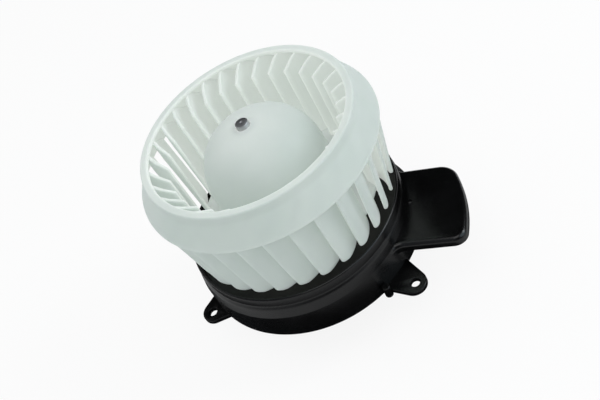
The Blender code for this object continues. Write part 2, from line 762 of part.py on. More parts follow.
def build_base():
    base = base_body()
    wing = wing_shell()
    boolean(wing, wall_trim("wing_trim", SHOULDER_Z - WING_SKIRT / 2), "DIFFERENCE")
    boolean(base, wing, "UNION")
    additions = []
    for angle, beyond in EARS_BEYOND_FOOT:
        hole_r = FOOT_R + beyond
        place = turned_about_shaft(angle)
        additions.append(prism("ear", ear_outline(hole_r), SEAT_Z, SEAT_Z + EAR_THICKNESS, place=place))
    ears = joined("ears", additions)
    boolean(ears, wall_trim("ear_trim", SEAT_Z), "DIFFERENCE")
    boolean(base, ears, "UNION")
    ribs = []
    half_rib = DECK_RIB_THICKNESS / 2
    for index in range(DECK_RIB_COUNT):
        angle = DECK_RIB_PHASE + 360.0 * index / DECK_RIB_COUNT
        ribs.append(prism("rib", rib_outline(angle), -half_rib, half_rib, place=upright(angle)))
    boolean(base, joined("deck_ribs", ribs), "UNION")
    posts = []
    post_low = SEAT_Z - TUBE_BELOW_SEAT
    for angle in SCREW_ANGLES:
        centre = polar(SCREW_CIRCLE_R, angle)
        posts.append(rod("boss", BOSS_R, post_low, post_low + BOSS_HEIGHT, FACETS_SMALL, centre))
    peg_centre = polar(FOOT_R + PEG_BEYOND_FOOT, PEG_ANGLE)
    peg_low = SEAT_Z - PEG_BELOW_SEAT
    posts.append(rod("peg", PEG_R, peg_low, SEAT_Z + PEG_HEIGHT, FACETS_SMALL, peg_centre))
    boolean(base, joined("bosses_and_peg", posts), "UNION")
    holes = []
    lug_low = COVER_HEIGHT - LUG_THICKNESS
    pilot_top = lug_low - GAP + SCREW_LENGTH + PILOT_CLEARANCE * 2
    for angle in SCREW_ANGLES:
        centre = polar(SCREW_CIRCLE_R, angle)
        pilot_r = SCREW_SHANK_R + PILOT_CLEARANCE
        holes.append(rod("pilot", pilot_r, lug_low, pilot_top, FACETS_SMALL, centre))
    for angle, beyond in EARS_BEYOND_FOOT:
        hole_r = FOOT_R + beyond
        centre = polar(hole_r, angle)
        low = SEAT_Z - EAR_THICKNESS
        holes.append(rod("ear_hole", EAR_HOLE_R, low, SEAT_Z + EAR_THICKNESS * 2, FACETS_SMALL, centre))
    wall_r = SHOULDER_R + lean_towards(SHOULDER_Z, DRAIN_HOLE_ANGLE)
    drain_centre = polar(wall_r + DRAIN_HOLE_FROM_WALL, DRAIN_HOLE_ANGLE)
    low = SHOULDER_Z - WING_SKIRT
    high = SHOULDER_Z + WING_SKIRT
    holes.append(rod("drain_hole", DRAIN_HOLE_R, low, high, FACETS_SMALL, drain_centre))
    boolean(base, joined("base_holes", holes), "DIFFERENCE")
    return finish_part(base, material("black_base_plastic", (0.012, 0.012, 0.013), 0.38))


# Motor cover, its screws and the connector blades

def socket_blocks():
    """Outside of the connector socket and the cavity in it."""
    half = SOCKET_WIDTH / 2
    outside = block(
        "socket_outside",
        (-SOCKET_REACH, -half, SOCKET_Z - SOCKET_HEIGHT / 2),
        (-(COVER_R - COVER_WALL), half, SOCKET_Z + SOCKET_HEIGHT / 2))
    cavity = block(
        "socket_cavity",
        (-SOCKET_REACH - BASE_WALL, -half + SOCKET_WALL, SOCKET_Z - SOCKET_HEIGHT / 2 + SOCKET_WALL),
        (-SOCKET_FLOOR_X, half - SOCKET_WALL, SOCKET_Z + SOCKET_HEIGHT / 2 - SOCKET_WALL))
    return outside, cavity


def terminal_sides():
    return (-TERMINAL_SPACING / 2, TERMINAL_SPACING / 2)


def terminal_level():
    """Underside and top of a terminal's flat leg."""
    low = SOCKET_Z - BLADE_TERMINAL_THICKNESS / 2
    return low, low + BLADE_TERMINAL_THICKNESS


def build_cover():
    inner_r = COVER_R - COVER_WALL
    profile = [(inner_r, COVER_HEIGHT), (COVER_R, COVER_HEIGHT)]
    edge_centre = (COVER_R - COVER_EDGE_ROUND, COVER_EDGE_ROUND)
    profile += arc(edge_centre, COVER_EDGE_ROUND, 0.0, -90.0, 3)
    profile += [(0.0, 0.0)]
    floor = [(0.0, COVER_FLOOR), (inner_r, COVER_FLOOR)]
    cup = turned("motor_cover", floor + profile, FACETS_MOTOR, closed=False)
    outside, cavity = socket_blocks()
    core = rod("socket_trim", inner_r + COVER_WALL / 2, 0.0, COVER_HEIGHT, FACETS_MOTOR)
    boolean(outside, core, "DIFFERENCE")
    boolean(cup, outside, "UNION")
    additions = []
    for angle in SCREW_ANGLES:
        centre = polar(SCREW_CIRCLE_R, angle)
        low = COVER_HEIGHT - LUG_THICKNESS
        additions.append(rod("lug", LUG_R, low, COVER_HEIGHT, FACETS_SMALL, centre))
    half = SUPPORT_RIB_THICKNESS / 2
    for angle in SUPPORT_RIB_ANGLES:
        rib_low = (inner_r - SUPPORT_RIB_LENGTH, -half, COVER_FLOOR / 2)
        rib_high = (inner_r + COVER_WALL / 2, half, SUPPORT_RIB_TOP)
        additions.append(block("support_rib", rib_low, rib_high, place=turned_about_shaft(angle)))
    boolean(cup, joined("lugs_and_ribs", additions), "UNION")
    cuts = [cavity]
    low, high = terminal_level()
    for y in terminal_sides():
        half_width = BLADE_TERMINAL_WIDTH / 2 + GAP
        slot_low = (-SOCKET_FLOOR_X - GAP, y - half_width, low - GAP)
        slot_high = (-(inner_r - COVER_WALL * 2), y + half_width, high + GAP)
        cuts.append(block("terminal_slot", slot_low, slot_high))
    for angle in SCREW_ANGLES:
        centre = polar(SCREW_CIRCLE_R, angle)
        low = COVER_HEIGHT - LUG_THICKNESS * 2
        cuts.append(rod("lug_hole", LUG_HOLE_R, low, COVER_HEIGHT + LUG_THICKNESS, FACETS_SMALL, centre))
    for index, cut in enumerate(cuts):
        cut.name = "cover_cut_%d" % index
        boolean(cup, cut, "DIFFERENCE")
    return finish_part(cup, material("black_cover_plastic", (0.014, 0.014, 0.015), 0.45))


def build_screw(index, angle):
    centre = polar(SCREW_CIRCLE_R, angle)
    seat = COVER_HEIGHT - LUG_THICKNESS - GAP
    head_low = seat - SCREW_HEAD_HEIGHT
    tip = seat + SCREW_LENGTH
    profile = [
        (0.0, tip),
        (SCREW_TIP_R, tip - SCREW_TIP_LENGTH),
        (SCREW_SHANK_R, tip - SCREW_POINT_LENGTH),
        (SCREW_SHANK_R, seat),
        (SCREW_HEAD_R, seat),
        (SCREW_HEAD_R, seat - SCREW_HEAD_BAND),
        (SCREW_HEAD_TOP_R, head_low),
        (0.0, head_low),
    ]
    screw = turned("cover_screw_%d" % index, profile, FACETS_SMALL, closed=False)
    screw.data.transform(Matrix.Translation(centre))
    return finish_part(screw, material("zinc_steel", (0.62, 0.62, 0.60), 0.35, 1.0))


def build_terminal(index, y):
    """Flat blade in the socket that runs under the end plate and bends up to the brush gear."""
    low, high = terminal_level()
    tip_x = -SOCKET_REACH + TERMINAL_TIP_INSET
    rise_x = -TERMINAL_RISE_X
    thickness = BLADE_TERMINAL_THICKNESS
    top = HOLDER_Z + TERMINAL_TOP_ABOVE_PLATE
    outline = [
        (tip_x, low),
        (rise_x + thickness, low),
        (rise_x + thickness, top),
        (rise_x, top),
        (rise_x, high),
        (tip_x, high),
    ]
    half = BLADE_TERMINAL_WIDTH / 2
    stand = Matrix.Translation((0.0, y, 0.0)) @ Matrix.Rotation(math.pi / 2, 4, "X")
    blade = prism("terminal_%d" % index, outline, -half, half, place=stand)
    return finish_part(blade, material("tinned_brass", (0.72, 0.68, 0.55), 0.3, 1.0))


# Motor shell, bearings and magnets

def build_can():
    lip_z = CAN_CEILING_Z + POCKET_DEPTH
    top = lip_z + BEARING_HOUSING_WALL
    hole_r = SHAFT_R + BEARING_HOUSING_WALL
    profile = [
        (hole_r, top),
        (HOUSING_R - CAN_CORNER, top),
        (HOUSING_R, top - CAN_CORNER),
        (HOUSING_R, CAN_TOP_Z),
        (CAN_R - CAN_CORNER, CAN_TOP_Z),
        (CAN_R, CAN_TOP_Z - CAN_CORNER),
        (CAN_R, CAN_Z + CAN_FLANGE_THICKNESS),
        (CAN_FLANGE_R, CAN_Z + CAN_FLANGE_THICKNESS),
        (CAN_FLANGE_R, CAN_Z),
        (CAN_INNER_R, CAN_Z),
        (CAN_INNER_R, CAN_CEILING_Z),
        (POCKET_R, CAN_CEILING_Z),
        (POCKET_R, lip_z),
        (hole_r, lip_z),
    ]
    can = turned("motor_can", profile, FACETS_MOTOR)
    half = CAN_WINDOW_WIDTH / 2
    low = END_PLATE_TOP_Z + CAN_WINDOW_ABOVE_PLATE
    reach = CAN_R + CAN_WINDOW_WIDTH
    window = block("can_windows", (-reach, -half, low), (reach, half, low + CAN_WINDOW_HEIGHT))
    boolean(can, window, "DIFFERENCE")
    return finish_part(can, material("plated_steel", (0.55, 0.55, 0.53), 0.35, 1.0))


def terminal_windows(name, z_low, z_high):
    """Openings that let both terminals through a plate."""
    cuts = []
    for y in terminal_sides():
        half = BLADE_TERMINAL_WIDTH / 2 + GAP
        low = (-TERMINAL_RISE_X - GAP, y - half, z_low)
        high = (-TERMINAL_RISE_X + BLADE_TERMINAL_THICKNESS + GAP, y + half, z_high)
        cuts.append(block("window", low, high))
    return joined(name, cuts)


def build_end_plate():
    pocket_floor = END_PLATE_TOP_Z - POCKET_DEPTH
    outside_floor = pocket_floor - BEARING_HOUSING_WALL
    profile = [
        (POCKET_R, END_PLATE_TOP_Z),
        (CAN_FLANGE_R, END_PLATE_TOP_Z),
        (CAN_FLANGE_R, END_PLATE_Z),
        (HOUSING_R, END_PLATE_Z),
        (HOUSING_R, outside_floor + CAN_CORNER),
        (HOUSING_R - CAN_CORNER, outside_floor),
        (0.0, outside_floor),
    ]
    inside = [(0.0, pocket_floor), (POCKET_R, pocket_floor)]
    plate = turned("end_plate", inside + profile, FACETS_MOTOR, closed=False)
    windows = terminal_windows("end_plate_windows", END_PLATE_Z - GAP, END_PLATE_TOP_Z + GAP)
    boolean(plate, windows, "DIFFERENCE")
    return finish_part(plate, material("plate_steel", (0.58, 0.58, 0.56), 0.4, 1.0))


def build_bearing(name, z_low):
    """Sintered bush with a barrel-shaped outside."""
    bore_r = SHAFT_R + BEARING_CLEARANCE
    z_high = z_low + BEARING_LENGTH
    middle = (z_low + z_high) / 2
    shoulder_r = (BEARING_R + SHAFT_R) / 2
    shoulder_z = BEARING_LENGTH * 0.18
    profile = [
        (bore_r, z_high),
        (shoulder_r, z_high),
        (BEARING_R, middle + shoulder_z),
        (BEARING_R, middle - shoulder_z),
        (shoulder_r, z_low),
        (bore_r, z_low),
    ]
    bush = turned(name, profile, FACETS_SHAFT)
    return finish_part(bush, material("sintered_bronze", (0.45, 0.30, 0.16), 0.5, 1.0))


def build_clip(name, z_low):
    ring = ring_profile(CLIP_HOLE_R, CLIP_R, z_low, z_low + CLIP_THICKNESS)
    clip = turned(name, ring, FACETS_SHAFT)
    return finish_part(clip, material("spring_steel", (0.5, 0.5, 0.5), 0.3, 1.0))


def build_washer(name, z_low):
    ring = ring_profile(SHAFT_R + GAP, WASHER_R, z_low, z_low + WASHER_THICKNESS)
    washer = turned(name, ring, FACETS_SHAFT)
    return finish_part(washer, material("nylon", (0.75, 0.72, 0.62), 0.5))


def build_isolator(name, z_low):
    """Rubber ring with as many facets as the can, so that the two stay clear all round."""
    ring = ring_profile(CAN_R + GAP, TUBE_INNER_R - GAP, z_low, z_low + ISOLATOR_HEIGHT)
    isolator = turned(name, ring, FACETS_MOTOR)
    return finish_part(isolator, material("black_rubber", (0.02, 0.02, 0.02), 0.8))


def sector_outline(inner_r, outer_r, centre, half_angle, steps):
    outline = arc((0.0, 0.0), outer_r, centre - half_angle, centre + half_angle, steps)
    outline += arc((0.0, 0.0), inner_r, centre + half_angle, centre - half_angle, steps)
    return outline


def build_magnet(index, centre):
    middle = (CORE_Z + CORE_TOP_Z) / 2
    outline = sector_outline(MAGNET_R - MAGNET_THICKNESS, MAGNET_R, centre, MAGNET_HALF_ANGLE, 10)
    magnet = prism(
        "magnet_%d" % index, outline, middle - MAGNET_LENGTH / 2, middle + MAGNET_LENGTH / 2)
    return finish_part(magnet, material("ferrite", (0.05, 0.05, 0.055), 0.6))


def build_magnet_spring(index, centre):
    """Bent strip that spreads the two magnets apart, against the wall of the can."""
    middle = (CORE_Z + CORE_TOP_Z) / 2
    strip = MAGNET_SPRING_STRIP
    outer_r = MAGNET_R
    clear = math.degrees(GAP / (MAGNET_R - MAGNET_THICKNESS))
    half = 90.0 - MAGNET_HALF_ANGLE - clear
    leg_r = outer_r - MAGNET_SPRING_LEG
    step = math.degrees(strip / outer_r)
    outline = arc((0.0, 0.0), outer_r, centre - half, centre + half, 5)
    outline += arc((0.0, 0.0), leg_r, centre + half, centre + half - step, 1)
    outline += arc((0.0, 0.0), outer_r - strip, centre + half - step, centre - half + step, 4)
    outline += arc((0.0, 0.0), leg_r, centre - half + step, centre - half, 1)
    half_length = MAGNET_SPRING_LENGTH / 2
    spring = prism("magnet_spring_%d" % index, outline, middle - half_length, middle + half_length)
    return finish_part(spring, material("spring_steel", (0.5, 0.5, 0.5), 0.3, 1.0))


# Armature and shaft

def build_shaft():
    top = RIM_Z + SHAFT_ABOVE_RIM
    profile = [
        (0.0, top),
        (SHAFT_R - SHAFT_CHAMFER, top),
        (SHAFT_R, top - SHAFT_CHAMFER),
        (SHAFT_R, SHAFT_Z + SHAFT_CHAMFER),
        (SHAFT_R - SHAFT_CHAMFER, SHAFT_Z),
        (0.0, SHAFT_Z),
    ]
    shaft = turned("shaft", profile, FACETS_SHAFT, closed=False)
    return finish_part(shaft, material("ground_steel", (0.56, 0.56, 0.56), 0.25, 1.0))


def armature_outline():
    """Lamination: a toothed wheel whose teeth end in broad shoes."""
    pitch = 360.0 / SLOT_COUNT
    shoe_inner_r = CORE_R - TOOTH_SHOE
    stem_r = shoe_inner_r - TOOTH_SHOE / 2
    shoe_half = pitch / 2 - math.degrees(SLOT_MOUTH / 2 / CORE_R)
    stem_half = math.degrees(TOOTH_WIDTH / 2 / stem_r)
    root_half = math.degrees(TOOTH_WIDTH / 2 / CORE_HUB_R)
    outline = []
    for index in range(SLOT_COUNT):
        centre = pitch * index
        outline.append(on_circle(CORE_HUB_R, centre - root_half))
        outline.append(on_circle(stem_r, centre - stem_half))
        outline.append(on_circle(shoe_inner_r, centre - shoe_half))
        outline += arc((0.0, 0.0), CORE_R, centre - shoe_half, centre + shoe_half, 3)
        outline.append(on_circle(shoe_inner_r, centre + shoe_half))
        outline.append(on_circle(stem_r, centre + stem_half))
        outline.append(on_circle(CORE_HUB_R, centre + root_half))
    return outline


def build_core():
    core = prism("armature_core", armature_outline(), CORE_Z, CORE_TOP_Z)
    bore = rod("core_bore", SHAFT_R + GAP, CORE_Z - GAP, CORE_TOP_Z + GAP, FACETS_SHAFT)
    boolean(core, bore, "DIFFERENCE")
    return finish_part(core, material("lamination_steel", (0.33, 0.33, 0.34), 0.45, 1.0))


def winding_ring(name, z_low, z_high, outer_r):
    round_r = WINDING_ROUND
    profile = [(WINDING_INNER_R, z_high)]
    profile += arc((outer_r - round_r, z_high - round_r), round_r, 90.0, 0.0, 2)
    profile += arc((outer_r - round_r, z_low + round_r), round_r, 0.0, -90.0, 2)
    profile += [(WINDING_INNER_R, z_low)]
    return turned(name, profile, FACETS_SHAFT)


def build_winding():
    """Copper coils: a ring of end turns at each end, joined by a bar in every slot."""
    stem_r = CORE_R - TOOTH_SHOE * 1.5
    outer_r = stem_r - GAP
    inner_r = CORE_HUB_R + TOOTH_SHOE
    pitch = 360.0 / SLOT_COUNT
    low_ring = winding_ring("armature_winding", LOWER_WINDING_Z, CORE_Z - GAP, outer_r)
    high_ring = winding_ring("upper_end_turns", CORE_TOP_Z + GAP, UPPER_WINDING_TOP_Z, outer_r)
    overlap = WINDING_OVERHANG / 2
    bars = []
    for index in range(SLOT_COUNT):
        outline = []
        for radius, side in ((inner_r, -1), (outer_r - GAP, -1), (outer_r - GAP, 1), (inner_r, 1)):
            clear = math.degrees(math.asin((TOOTH_WIDTH / 2 + GAP) / radius))
            angle = pitch * (index + 0.5) + side * (pitch / 2 - clear - 0.5)
            outline.append(on_circle(radius, angle))
        bars.append(prism("slot_bar", outline, CORE_Z - GAP - overlap, CORE_TOP_Z + GAP + overlap))
    boolean(low_ring, joined("slot_bars", bars), "UNION")
    boolean(low_ring, high_ring, "UNION")
    return finish_part(low_ring, material("enamelled_copper", (0.55, 0.20, 0.07), 0.35, 1.0))


def build_commutator():
    pitch = 360.0 / SLOT_COUNT
    groove_half = math.degrees(COMMUTATOR_GROOVE / 2 / COMMUTATOR_R)
    floor_r = COMMUTATOR_R - COMMUTATOR_GROOVE
    outline = []
    for index in range(SLOT_COUNT):
        centre = pitch * index
        half = pitch / 2 - groove_half
        outline += arc((0.0, 0.0), COMMUTATOR_R, centre - half, centre + half, 2)
        outline.append(on_circle(floor_r, centre + half))
        outline.append(on_circle(floor_r, centre + pitch - half))
    top = COMMUTATOR_Z + COMMUTATOR_LENGTH
    commutator = prism("commutator", outline, COMMUTATOR_Z, top)
    bore = rod("commutator_bore", SHAFT_R + GAP, COMMUTATOR_Z - GAP, top + GAP, FACETS_SHAFT)
    boolean(commutator, bore, "DIFFERENCE")
    return finish_part(commutator, material("copper", (0.72, 0.38, 0.22), 0.3, 1.0))


# Brush gear

def build_brush_plate():
    inner_r = CLIP_R + GAP * 2
    outer_r = CAN_INNER_R - GAP
    top = BRUSH_PLATE_Z + BRUSH_PLATE_THICKNESS
    plate = turned("brush_plate", ring_profile(inner_r, outer_r, BRUSH_PLATE_Z, top), FACETS_MOTOR)
    windows = terminal_windows("brush_plate_windows", BRUSH_PLATE_Z - GAP, top + GAP)
    boolean(plate, windows, "DIFFERENCE")
    return finish_part(plate, material("brush_plate_plastic", (0.10, 0.07, 0.04), 0.55))


def holder_box():
    """Outer corners of a brush holder that points along +X."""
    half = BRUSH_WIDTH / 2 + GAP + HOLDER_WALL
    height = BRUSH_HEIGHT + 2 * (GAP + HOLDER_WALL)
    start = COMMUTATOR_R + HOLDER_NOSE_GAP
    end = math.sqrt((CAN_INNER_R - GAP) ** 2 - half ** 2) - GAP
    return (start, -half, HOLDER_Z), (end, half, HOLDER_Z + height)


def brush_middle_z():
    return HOLDER_Z + HOLDER_WALL + GAP + BRUSH_HEIGHT / 2


def build_brush_set(index, angle):
    place = turned_about_shaft(angle)
    low, high = holder_box()
    holder = block("brush_holder_%d" % index, low, high, place=place)
    wall = HOLDER_WALL
    inside = block(
        "brush_holder_inside_%d" % index,
        (low[0] - wall, low[1] + wall, low[2] + wall),
        (high[0] - wall, high[1] - wall, high[2] - wall),
        place=place)
    boolean(holder, inside, "DIFFERENCE")
    finish_part(holder, material("holder_brass", (0.66, 0.50, 0.22), 0.35, 1.0))
    middle = brush_middle_z()
    start = COMMUTATOR_R + GAP
    end = start + BRUSH_LENGTH
    brush = block(
        "brush_%d" % index,
        (start, -BRUSH_WIDTH / 2, middle - BRUSH_HEIGHT / 2),
        (end, BRUSH_WIDTH / 2, middle + BRUSH_HEIGHT / 2),
        place=place)
    finish_part(brush, material("carbon", (0.03, 0.03, 0.032), 0.55))
    spring_start = end + GAP + BRUSH_SPRING_WIRE_R
    spring_end = high[0] - wall - GAP - BRUSH_SPRING_WIRE_R
    build_brush_spring(index, place, spring_start, spring_end, middle)


def build_brush_spring(index, place, start, end, middle_z):
    """Coil spring that presses a brush on the commutator."""
    steps_per_turn = 10
    count = int(BRUSH_SPRING_TURNS * steps_per_turn)
    curve = bpy.data.curves.new("brush_spring", "CURVE")
    curve.dimensions = "3D"
    curve.bevel_depth = BRUSH_SPRING_WIRE_R
    curve.bevel_resolution = 1
    curve.use_fill_caps = True
    spline = curve.splines.new("POLY")
    spline.points.add(count)
    for step, point in enumerate(spline.points):
        turn = math.tau * step / steps_per_turn
        x = start + (end - start) * step / count
        y = BRUSH_SPRING_R * math.cos(turn)
        z = middle_z + BRUSH_SPRING_R * math.sin(turn)
        point.co = (*(place @ Vector((x, y, z))), 1.0)
    item = add_object("brush_spring", curve)
    mesh = evaluated_mesh(item)
    bpy.data.objects.remove(item, do_unlink=True)
    spring = add_object("brush_spring_%d" % index, mesh)
    return finish_part(spring, material("spring_steel", (0.5, 0.5, 0.5), 0.3, 1.0))


def build_choke(index, angle):
    """Interference choke: a ferrite rod with a ridged coil, lying on the brush plate."""
    half = CHOKE_LENGTH / 2
    coil_half = CHOKE_COIL_LENGTH / 2
    ridge = coil_half * 2 / CHOKE_TURNS
    groove_r = (CHOKE_COIL_R + CHOKE_CORE_R) / 2
    profile = [(0.0, half), (CHOKE_CORE_R, half), (CHOKE_CORE_R, coil_half)]
    for turn in range(CHOKE_TURNS):
        top = coil_half - ridge * turn
        profile.append((groove_r, top))
        profile.append((CHOKE_COIL_R, top - ridge / 2))
    profile += [(groove_r, -coil_half), (CHOKE_CORE_R, -coil_half), (CHOKE_CORE_R, -half), (0.0, -half)]
    choke = turned("choke_%d" % index, profile, 12, closed=False)
    centre_z = HOLDER_Z + CHOKE_COIL_R
    lie = Matrix.Translation((CHOKE_CIRCLE_R, 0.0, centre_z)) @ Matrix.Rotation(math.pi / 2, 4, "X")
    choke.data.transform(turned_about_shaft(angle) @ lie)
    return finish_part(choke, material("choke_copper", (0.50, 0.22, 0.09), 0.4, 1.0))


def build_all():
    build_impeller()
    build_shaft()
    build_core()
    build_winding()
    build_commutator()
    build_washer("lower_thrust_washer", LOWER_WASHER_Z)
    build_washer("upper_thrust_washer", UPPER_WASHER_Z)
    build_base()
    build_cover()
    for index, angle in enumerate(SCREW_ANGLES, start=1):
        build_screw(index, angle)
    for index, y in enumerate(terminal_sides(), start=1):
        build_terminal(index, y)
    build_can()
    build_end_plate()
    build_bearing("lower_bearing", END_PLATE_TOP_Z - BEARING_LENGTH)
    build_bearing("upper_bearing", CAN_CEILING_Z)
    build_clip("lower_bearing_clip", LOWER_CLIP_Z)
    build_clip("upper_bearing_clip", UPPER_CLIP_Z)
    build_isolator("lower_isolator", COVER_HEIGHT + GAP)
    build_isolator("upper_isolator", TUBE_TOP_Z - TUBE_LIP_THICKNESS - GAP - ISOLATOR_HEIGHT)
    for index, centre in enumerate((0.0, 180.0), start=1):
        build_magnet(index, centre)
        build_magnet_spring(index, centre + 90.0)
    build_brush_plate()
    for index, angle in enumerate(BRUSH_ANGLES, start=1):
        build_brush_set(index, angle)
    for index, angle in enumerate(CHOKE_ANGLES, start=1):
        build_choke(index, angle)


build_all()
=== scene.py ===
"""Looks of the cabin blower motor: a finer wheel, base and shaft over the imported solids."""

import math

import bmesh
import bpy
from mathutils import Matrix, Vector


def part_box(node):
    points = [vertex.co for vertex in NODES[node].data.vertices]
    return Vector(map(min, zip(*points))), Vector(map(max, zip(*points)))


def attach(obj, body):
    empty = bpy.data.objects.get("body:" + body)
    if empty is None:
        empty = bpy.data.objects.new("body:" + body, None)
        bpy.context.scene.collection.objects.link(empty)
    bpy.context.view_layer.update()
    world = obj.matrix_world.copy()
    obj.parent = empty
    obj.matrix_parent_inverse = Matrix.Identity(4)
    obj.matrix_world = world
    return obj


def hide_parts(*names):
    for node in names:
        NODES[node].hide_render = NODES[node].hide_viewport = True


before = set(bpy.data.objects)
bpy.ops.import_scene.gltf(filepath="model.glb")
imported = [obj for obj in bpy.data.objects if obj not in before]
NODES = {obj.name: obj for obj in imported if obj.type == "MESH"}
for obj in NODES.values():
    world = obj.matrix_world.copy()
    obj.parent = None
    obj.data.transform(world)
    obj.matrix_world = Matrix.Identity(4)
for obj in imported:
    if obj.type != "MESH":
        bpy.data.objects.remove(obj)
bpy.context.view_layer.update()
MM = 0.001

# Levels along the shaft
SEAT_Z = 34.0 * MM
SHOULDER_Z = 52.3 * MM
NECK_Z = 60.3 * MM
BASE_TOP_Z = 67.6 * MM
DECK_Z = 59.8 * MM
TUBE_TOP_Z = 64.8 * MM
TUBE_FOOT_Z = 26.3 * MM
TIP_Z = 68.8 * MM
RIM_Z = 140.2 * MM

# Wheel
TIP_R = 66.9 * MM
RING_R = 75.0 * MM
RING_FOOT_Z = RIM_Z - 19.7 * MM
RING_NECK_R = 67.2 * MM
RING_NECK_Z = RIM_Z - 5.0 * MM
RING_WALL = 1.8 * MM
RIM_R = 66.2 * MM
LIP_R = 61.4 * MM
LIP_THICKNESS = 2.6 * MM
LIP_ROUND = 1.1 * MM
LIP_INNER_ROUND = 0.8 * MM
RIM_INNER_ROUND = 0.6 * MM
RING_NECK_ROUND = 9.0 * MM
RING_NECK_INNER_ROUND = 4.0 * MM
RING_SHOULDER_ROUND = 3.0 * MM
RING_SHOULDER_INNER_ROUND = 1.6 * MM
RING_FOOT_ROUND = 0.5 * MM
RING_ROUND_STEPS = 6
BLADE_COUNT = 30
BLADE_THICKNESS = 2.1 * MM
BLADE_INNER_R = 52.4 * MM
BLADE_SWEEP = 23.5
BLADE_TURN = 70.0
BLADE_PHASE = -6.0
BLADE_STEPS = 12
BLADE_CAP_ANGLES = (45.0, 90.0, 135.0)
BLADE_CORNER_CUT = 2.6 * MM
BLADE_CORNER_HEIGHT = 3.6 * MM
BLADE_CORNER_STEPS = 6
BLADE_TIP_THICKNESS_SHARE = 0.45
BLADE_THICKENING = 1.6
BLADE_MIDDLE_LEVELS = (TIP_Z + 20.0 * MM, TIP_Z + 36.0 * MM)
BLADE_SLANT_Z = RIM_Z - 9.9 * MM
HUB_WALL = 2.0 * MM
HUB_R = 37.6 * MM
HUB_CROWN = 37.0 * MM
HUB_CROWN_POWER = 2.4
HUB_TOP_Z = RIM_Z - 0.6 * MM
HUB_SKIRT_R = 16.0 * MM
HUB_DRAFT = 1.0 * MM
HUB_BOSS_R = 7.6 * MM
HUB_BOSS_Z = RIM_Z - 18.0 * MM
HUB_BOSS_EDGE = 0.6 * MM
HUB_BOSS_EDGE_DROP = 0.35 * MM
HUB_OUTER_STEPS = 22
HUB_INNER_STEPS = 16
SKIRT_OUTER_STEPS = 14
SKIRT_INNER_STEPS = 10
DISC_R = 58.0 * MM
DISC_TOP_Z = TIP_Z + 6.6 * MM
DISC_EDGE_R = 0.9 * MM
DISC_EDGE_STEPS = 6
BORE_R = 4.3 * MM
BORE_CHAMFER = 0.5 * MM

# Shaft
SHAFT_R = 4.0 * MM
SHAFT_CHAMFER = 0.5 * MM
SHAFT_EDGE = 0.15 * MM
SHAFT_EDGE_DROP = 0.2 * MM
DIMPLE_R = 1.0 * MM
DIMPLE_MIDDLE_R = 0.5 * MM
DIMPLE_MIDDLE_DEPTH = 0.35 * MM
DIMPLE_DEPTH = 0.5 * MM

# Base
BASE_WALL = 2.0 * MM
FOOT_R = 73.9 * MM
SHOULDER_R = 70.4 * MM
NECK_R = 69.1 * MM
LEAN_ANGLE = -112.0
SHOULDER_LEAN = 3.2 * MM
NECK_LEAN = 1.9 * MM
SHOULDER_DROP = 1.4 * MM
SHOULDER_SET_BACK = 0.3 * MM
SHOULDER_ROUND = 5.0 * MM
SHOULDER_FOOT_ROUND = 4.0 * MM
SHOULDER_INNER_ROUND = 1.0 * MM
NECK_RISE = 0.8 * MM
NECK_ROUND = 2.5 * MM
BASE_TOP_ROUND = 1.1 * MM
BASE_TOP_INNER_ROUND = 0.9 * MM
FOOT_ROUND = 0.7 * MM
FOOT_INNER_ROUND = 0.6 * MM
DECK_ROUND = 1.0 * MM
TUBE_R = 35.9 * MM
TUBE_INNER_R = 33.7 * MM
TUBE_LIP_R = 31.2 * MM
TUBE_LIP_Z = TUBE_TOP_Z - 1.8 * MM
TUBE_TOP_ROUND = 0.6 * MM
TUBE_ROOT_ROUND = 0.8 * MM
TUBE_FOOT_ROUND = 0.5 * MM
TUBE_LIP_ROUND = 0.3 * MM
BASE_ROUND_STEPS = 4
RIB_COUNT = 6
RIB_THICKNESS = 1.8 * MM
RIB_ROOT_DEPTH = 1.1 * MM
RIB_LOW_Z = 44.8 * MM
WING_NEAR_Y = -28.7 * MM
WING_FAR_Y = 30.3 * MM
WING_REACH = 107.3 * MM
WING_END_R = 100.0 * MM
WING_END_CENTRE_Y = -17.0 * MM
WING_NEAR_CORNER_R = 8.0 * MM
WING_FAR_CORNER_R = 13.0 * MM
WING_NEAR_ROOT_R = 8.0 * MM
WING_FAR_ROOT_R = 4.5 * MM
WING_ROOT_DEPTH = 6.0 * MM
WING_SKIRT = 6.3 * MM
WING_WALL = 2.0 * MM
WING_EDGE_ROUND = 3.4 * MM
WING_EDGE_STEPS = 7
WING_HOLLOW_STEPS = 5
WING_ROOT_STEPS = (10, 8)
WING_CORNER_STEPS = 14
WING_END_STEPS = 12
EARS = ((-136.5, 80.2 * MM), (-31.5, 87.2 * MM), (96.5, 82.0 * MM))
EAR_THICKNESS = 3.5 * MM
EAR_END_R = 8.0 * MM
EAR_HOLE_OFFSET = 1.3 * MM
EAR_ROOT_HALF_WIDTH = 12.5 * MM
EAR_ROOT_DEPTH = 5.0 * MM
EAR_HOLE_R = 2.9 * MM
EAR_EDGE_ROUND = 0.45 * MM
EAR_END_HALF_TURN = 75.0
EAR_END_STEPS = 24
PEG_ANGLE = -40.4
PEG_R = 2.5 * MM
PEG_CENTRE_R = 75.9 * MM
PEG_LOW_Z = SEAT_Z - 1.6 * MM
PEG_TOP_Z = SEAT_Z + 7.0 * MM
PEG_ROUND = 0.5 * MM
DRAIN_HOLE_ANGLE = 3.0
DRAIN_HOLE_R = 1.5 * MM
DRAIN_HOLE_FROM_WALL = 2.4 * MM
SCREW_ANGLES = (60.0, 295.0, 125.0)
SCREW_CIRCLE_R = 39.6 * MM
BOSS_R = 4.2 * MM
BOSS_TOP_Z = 41.3 * MM
PILOT_R = 1.65 * MM

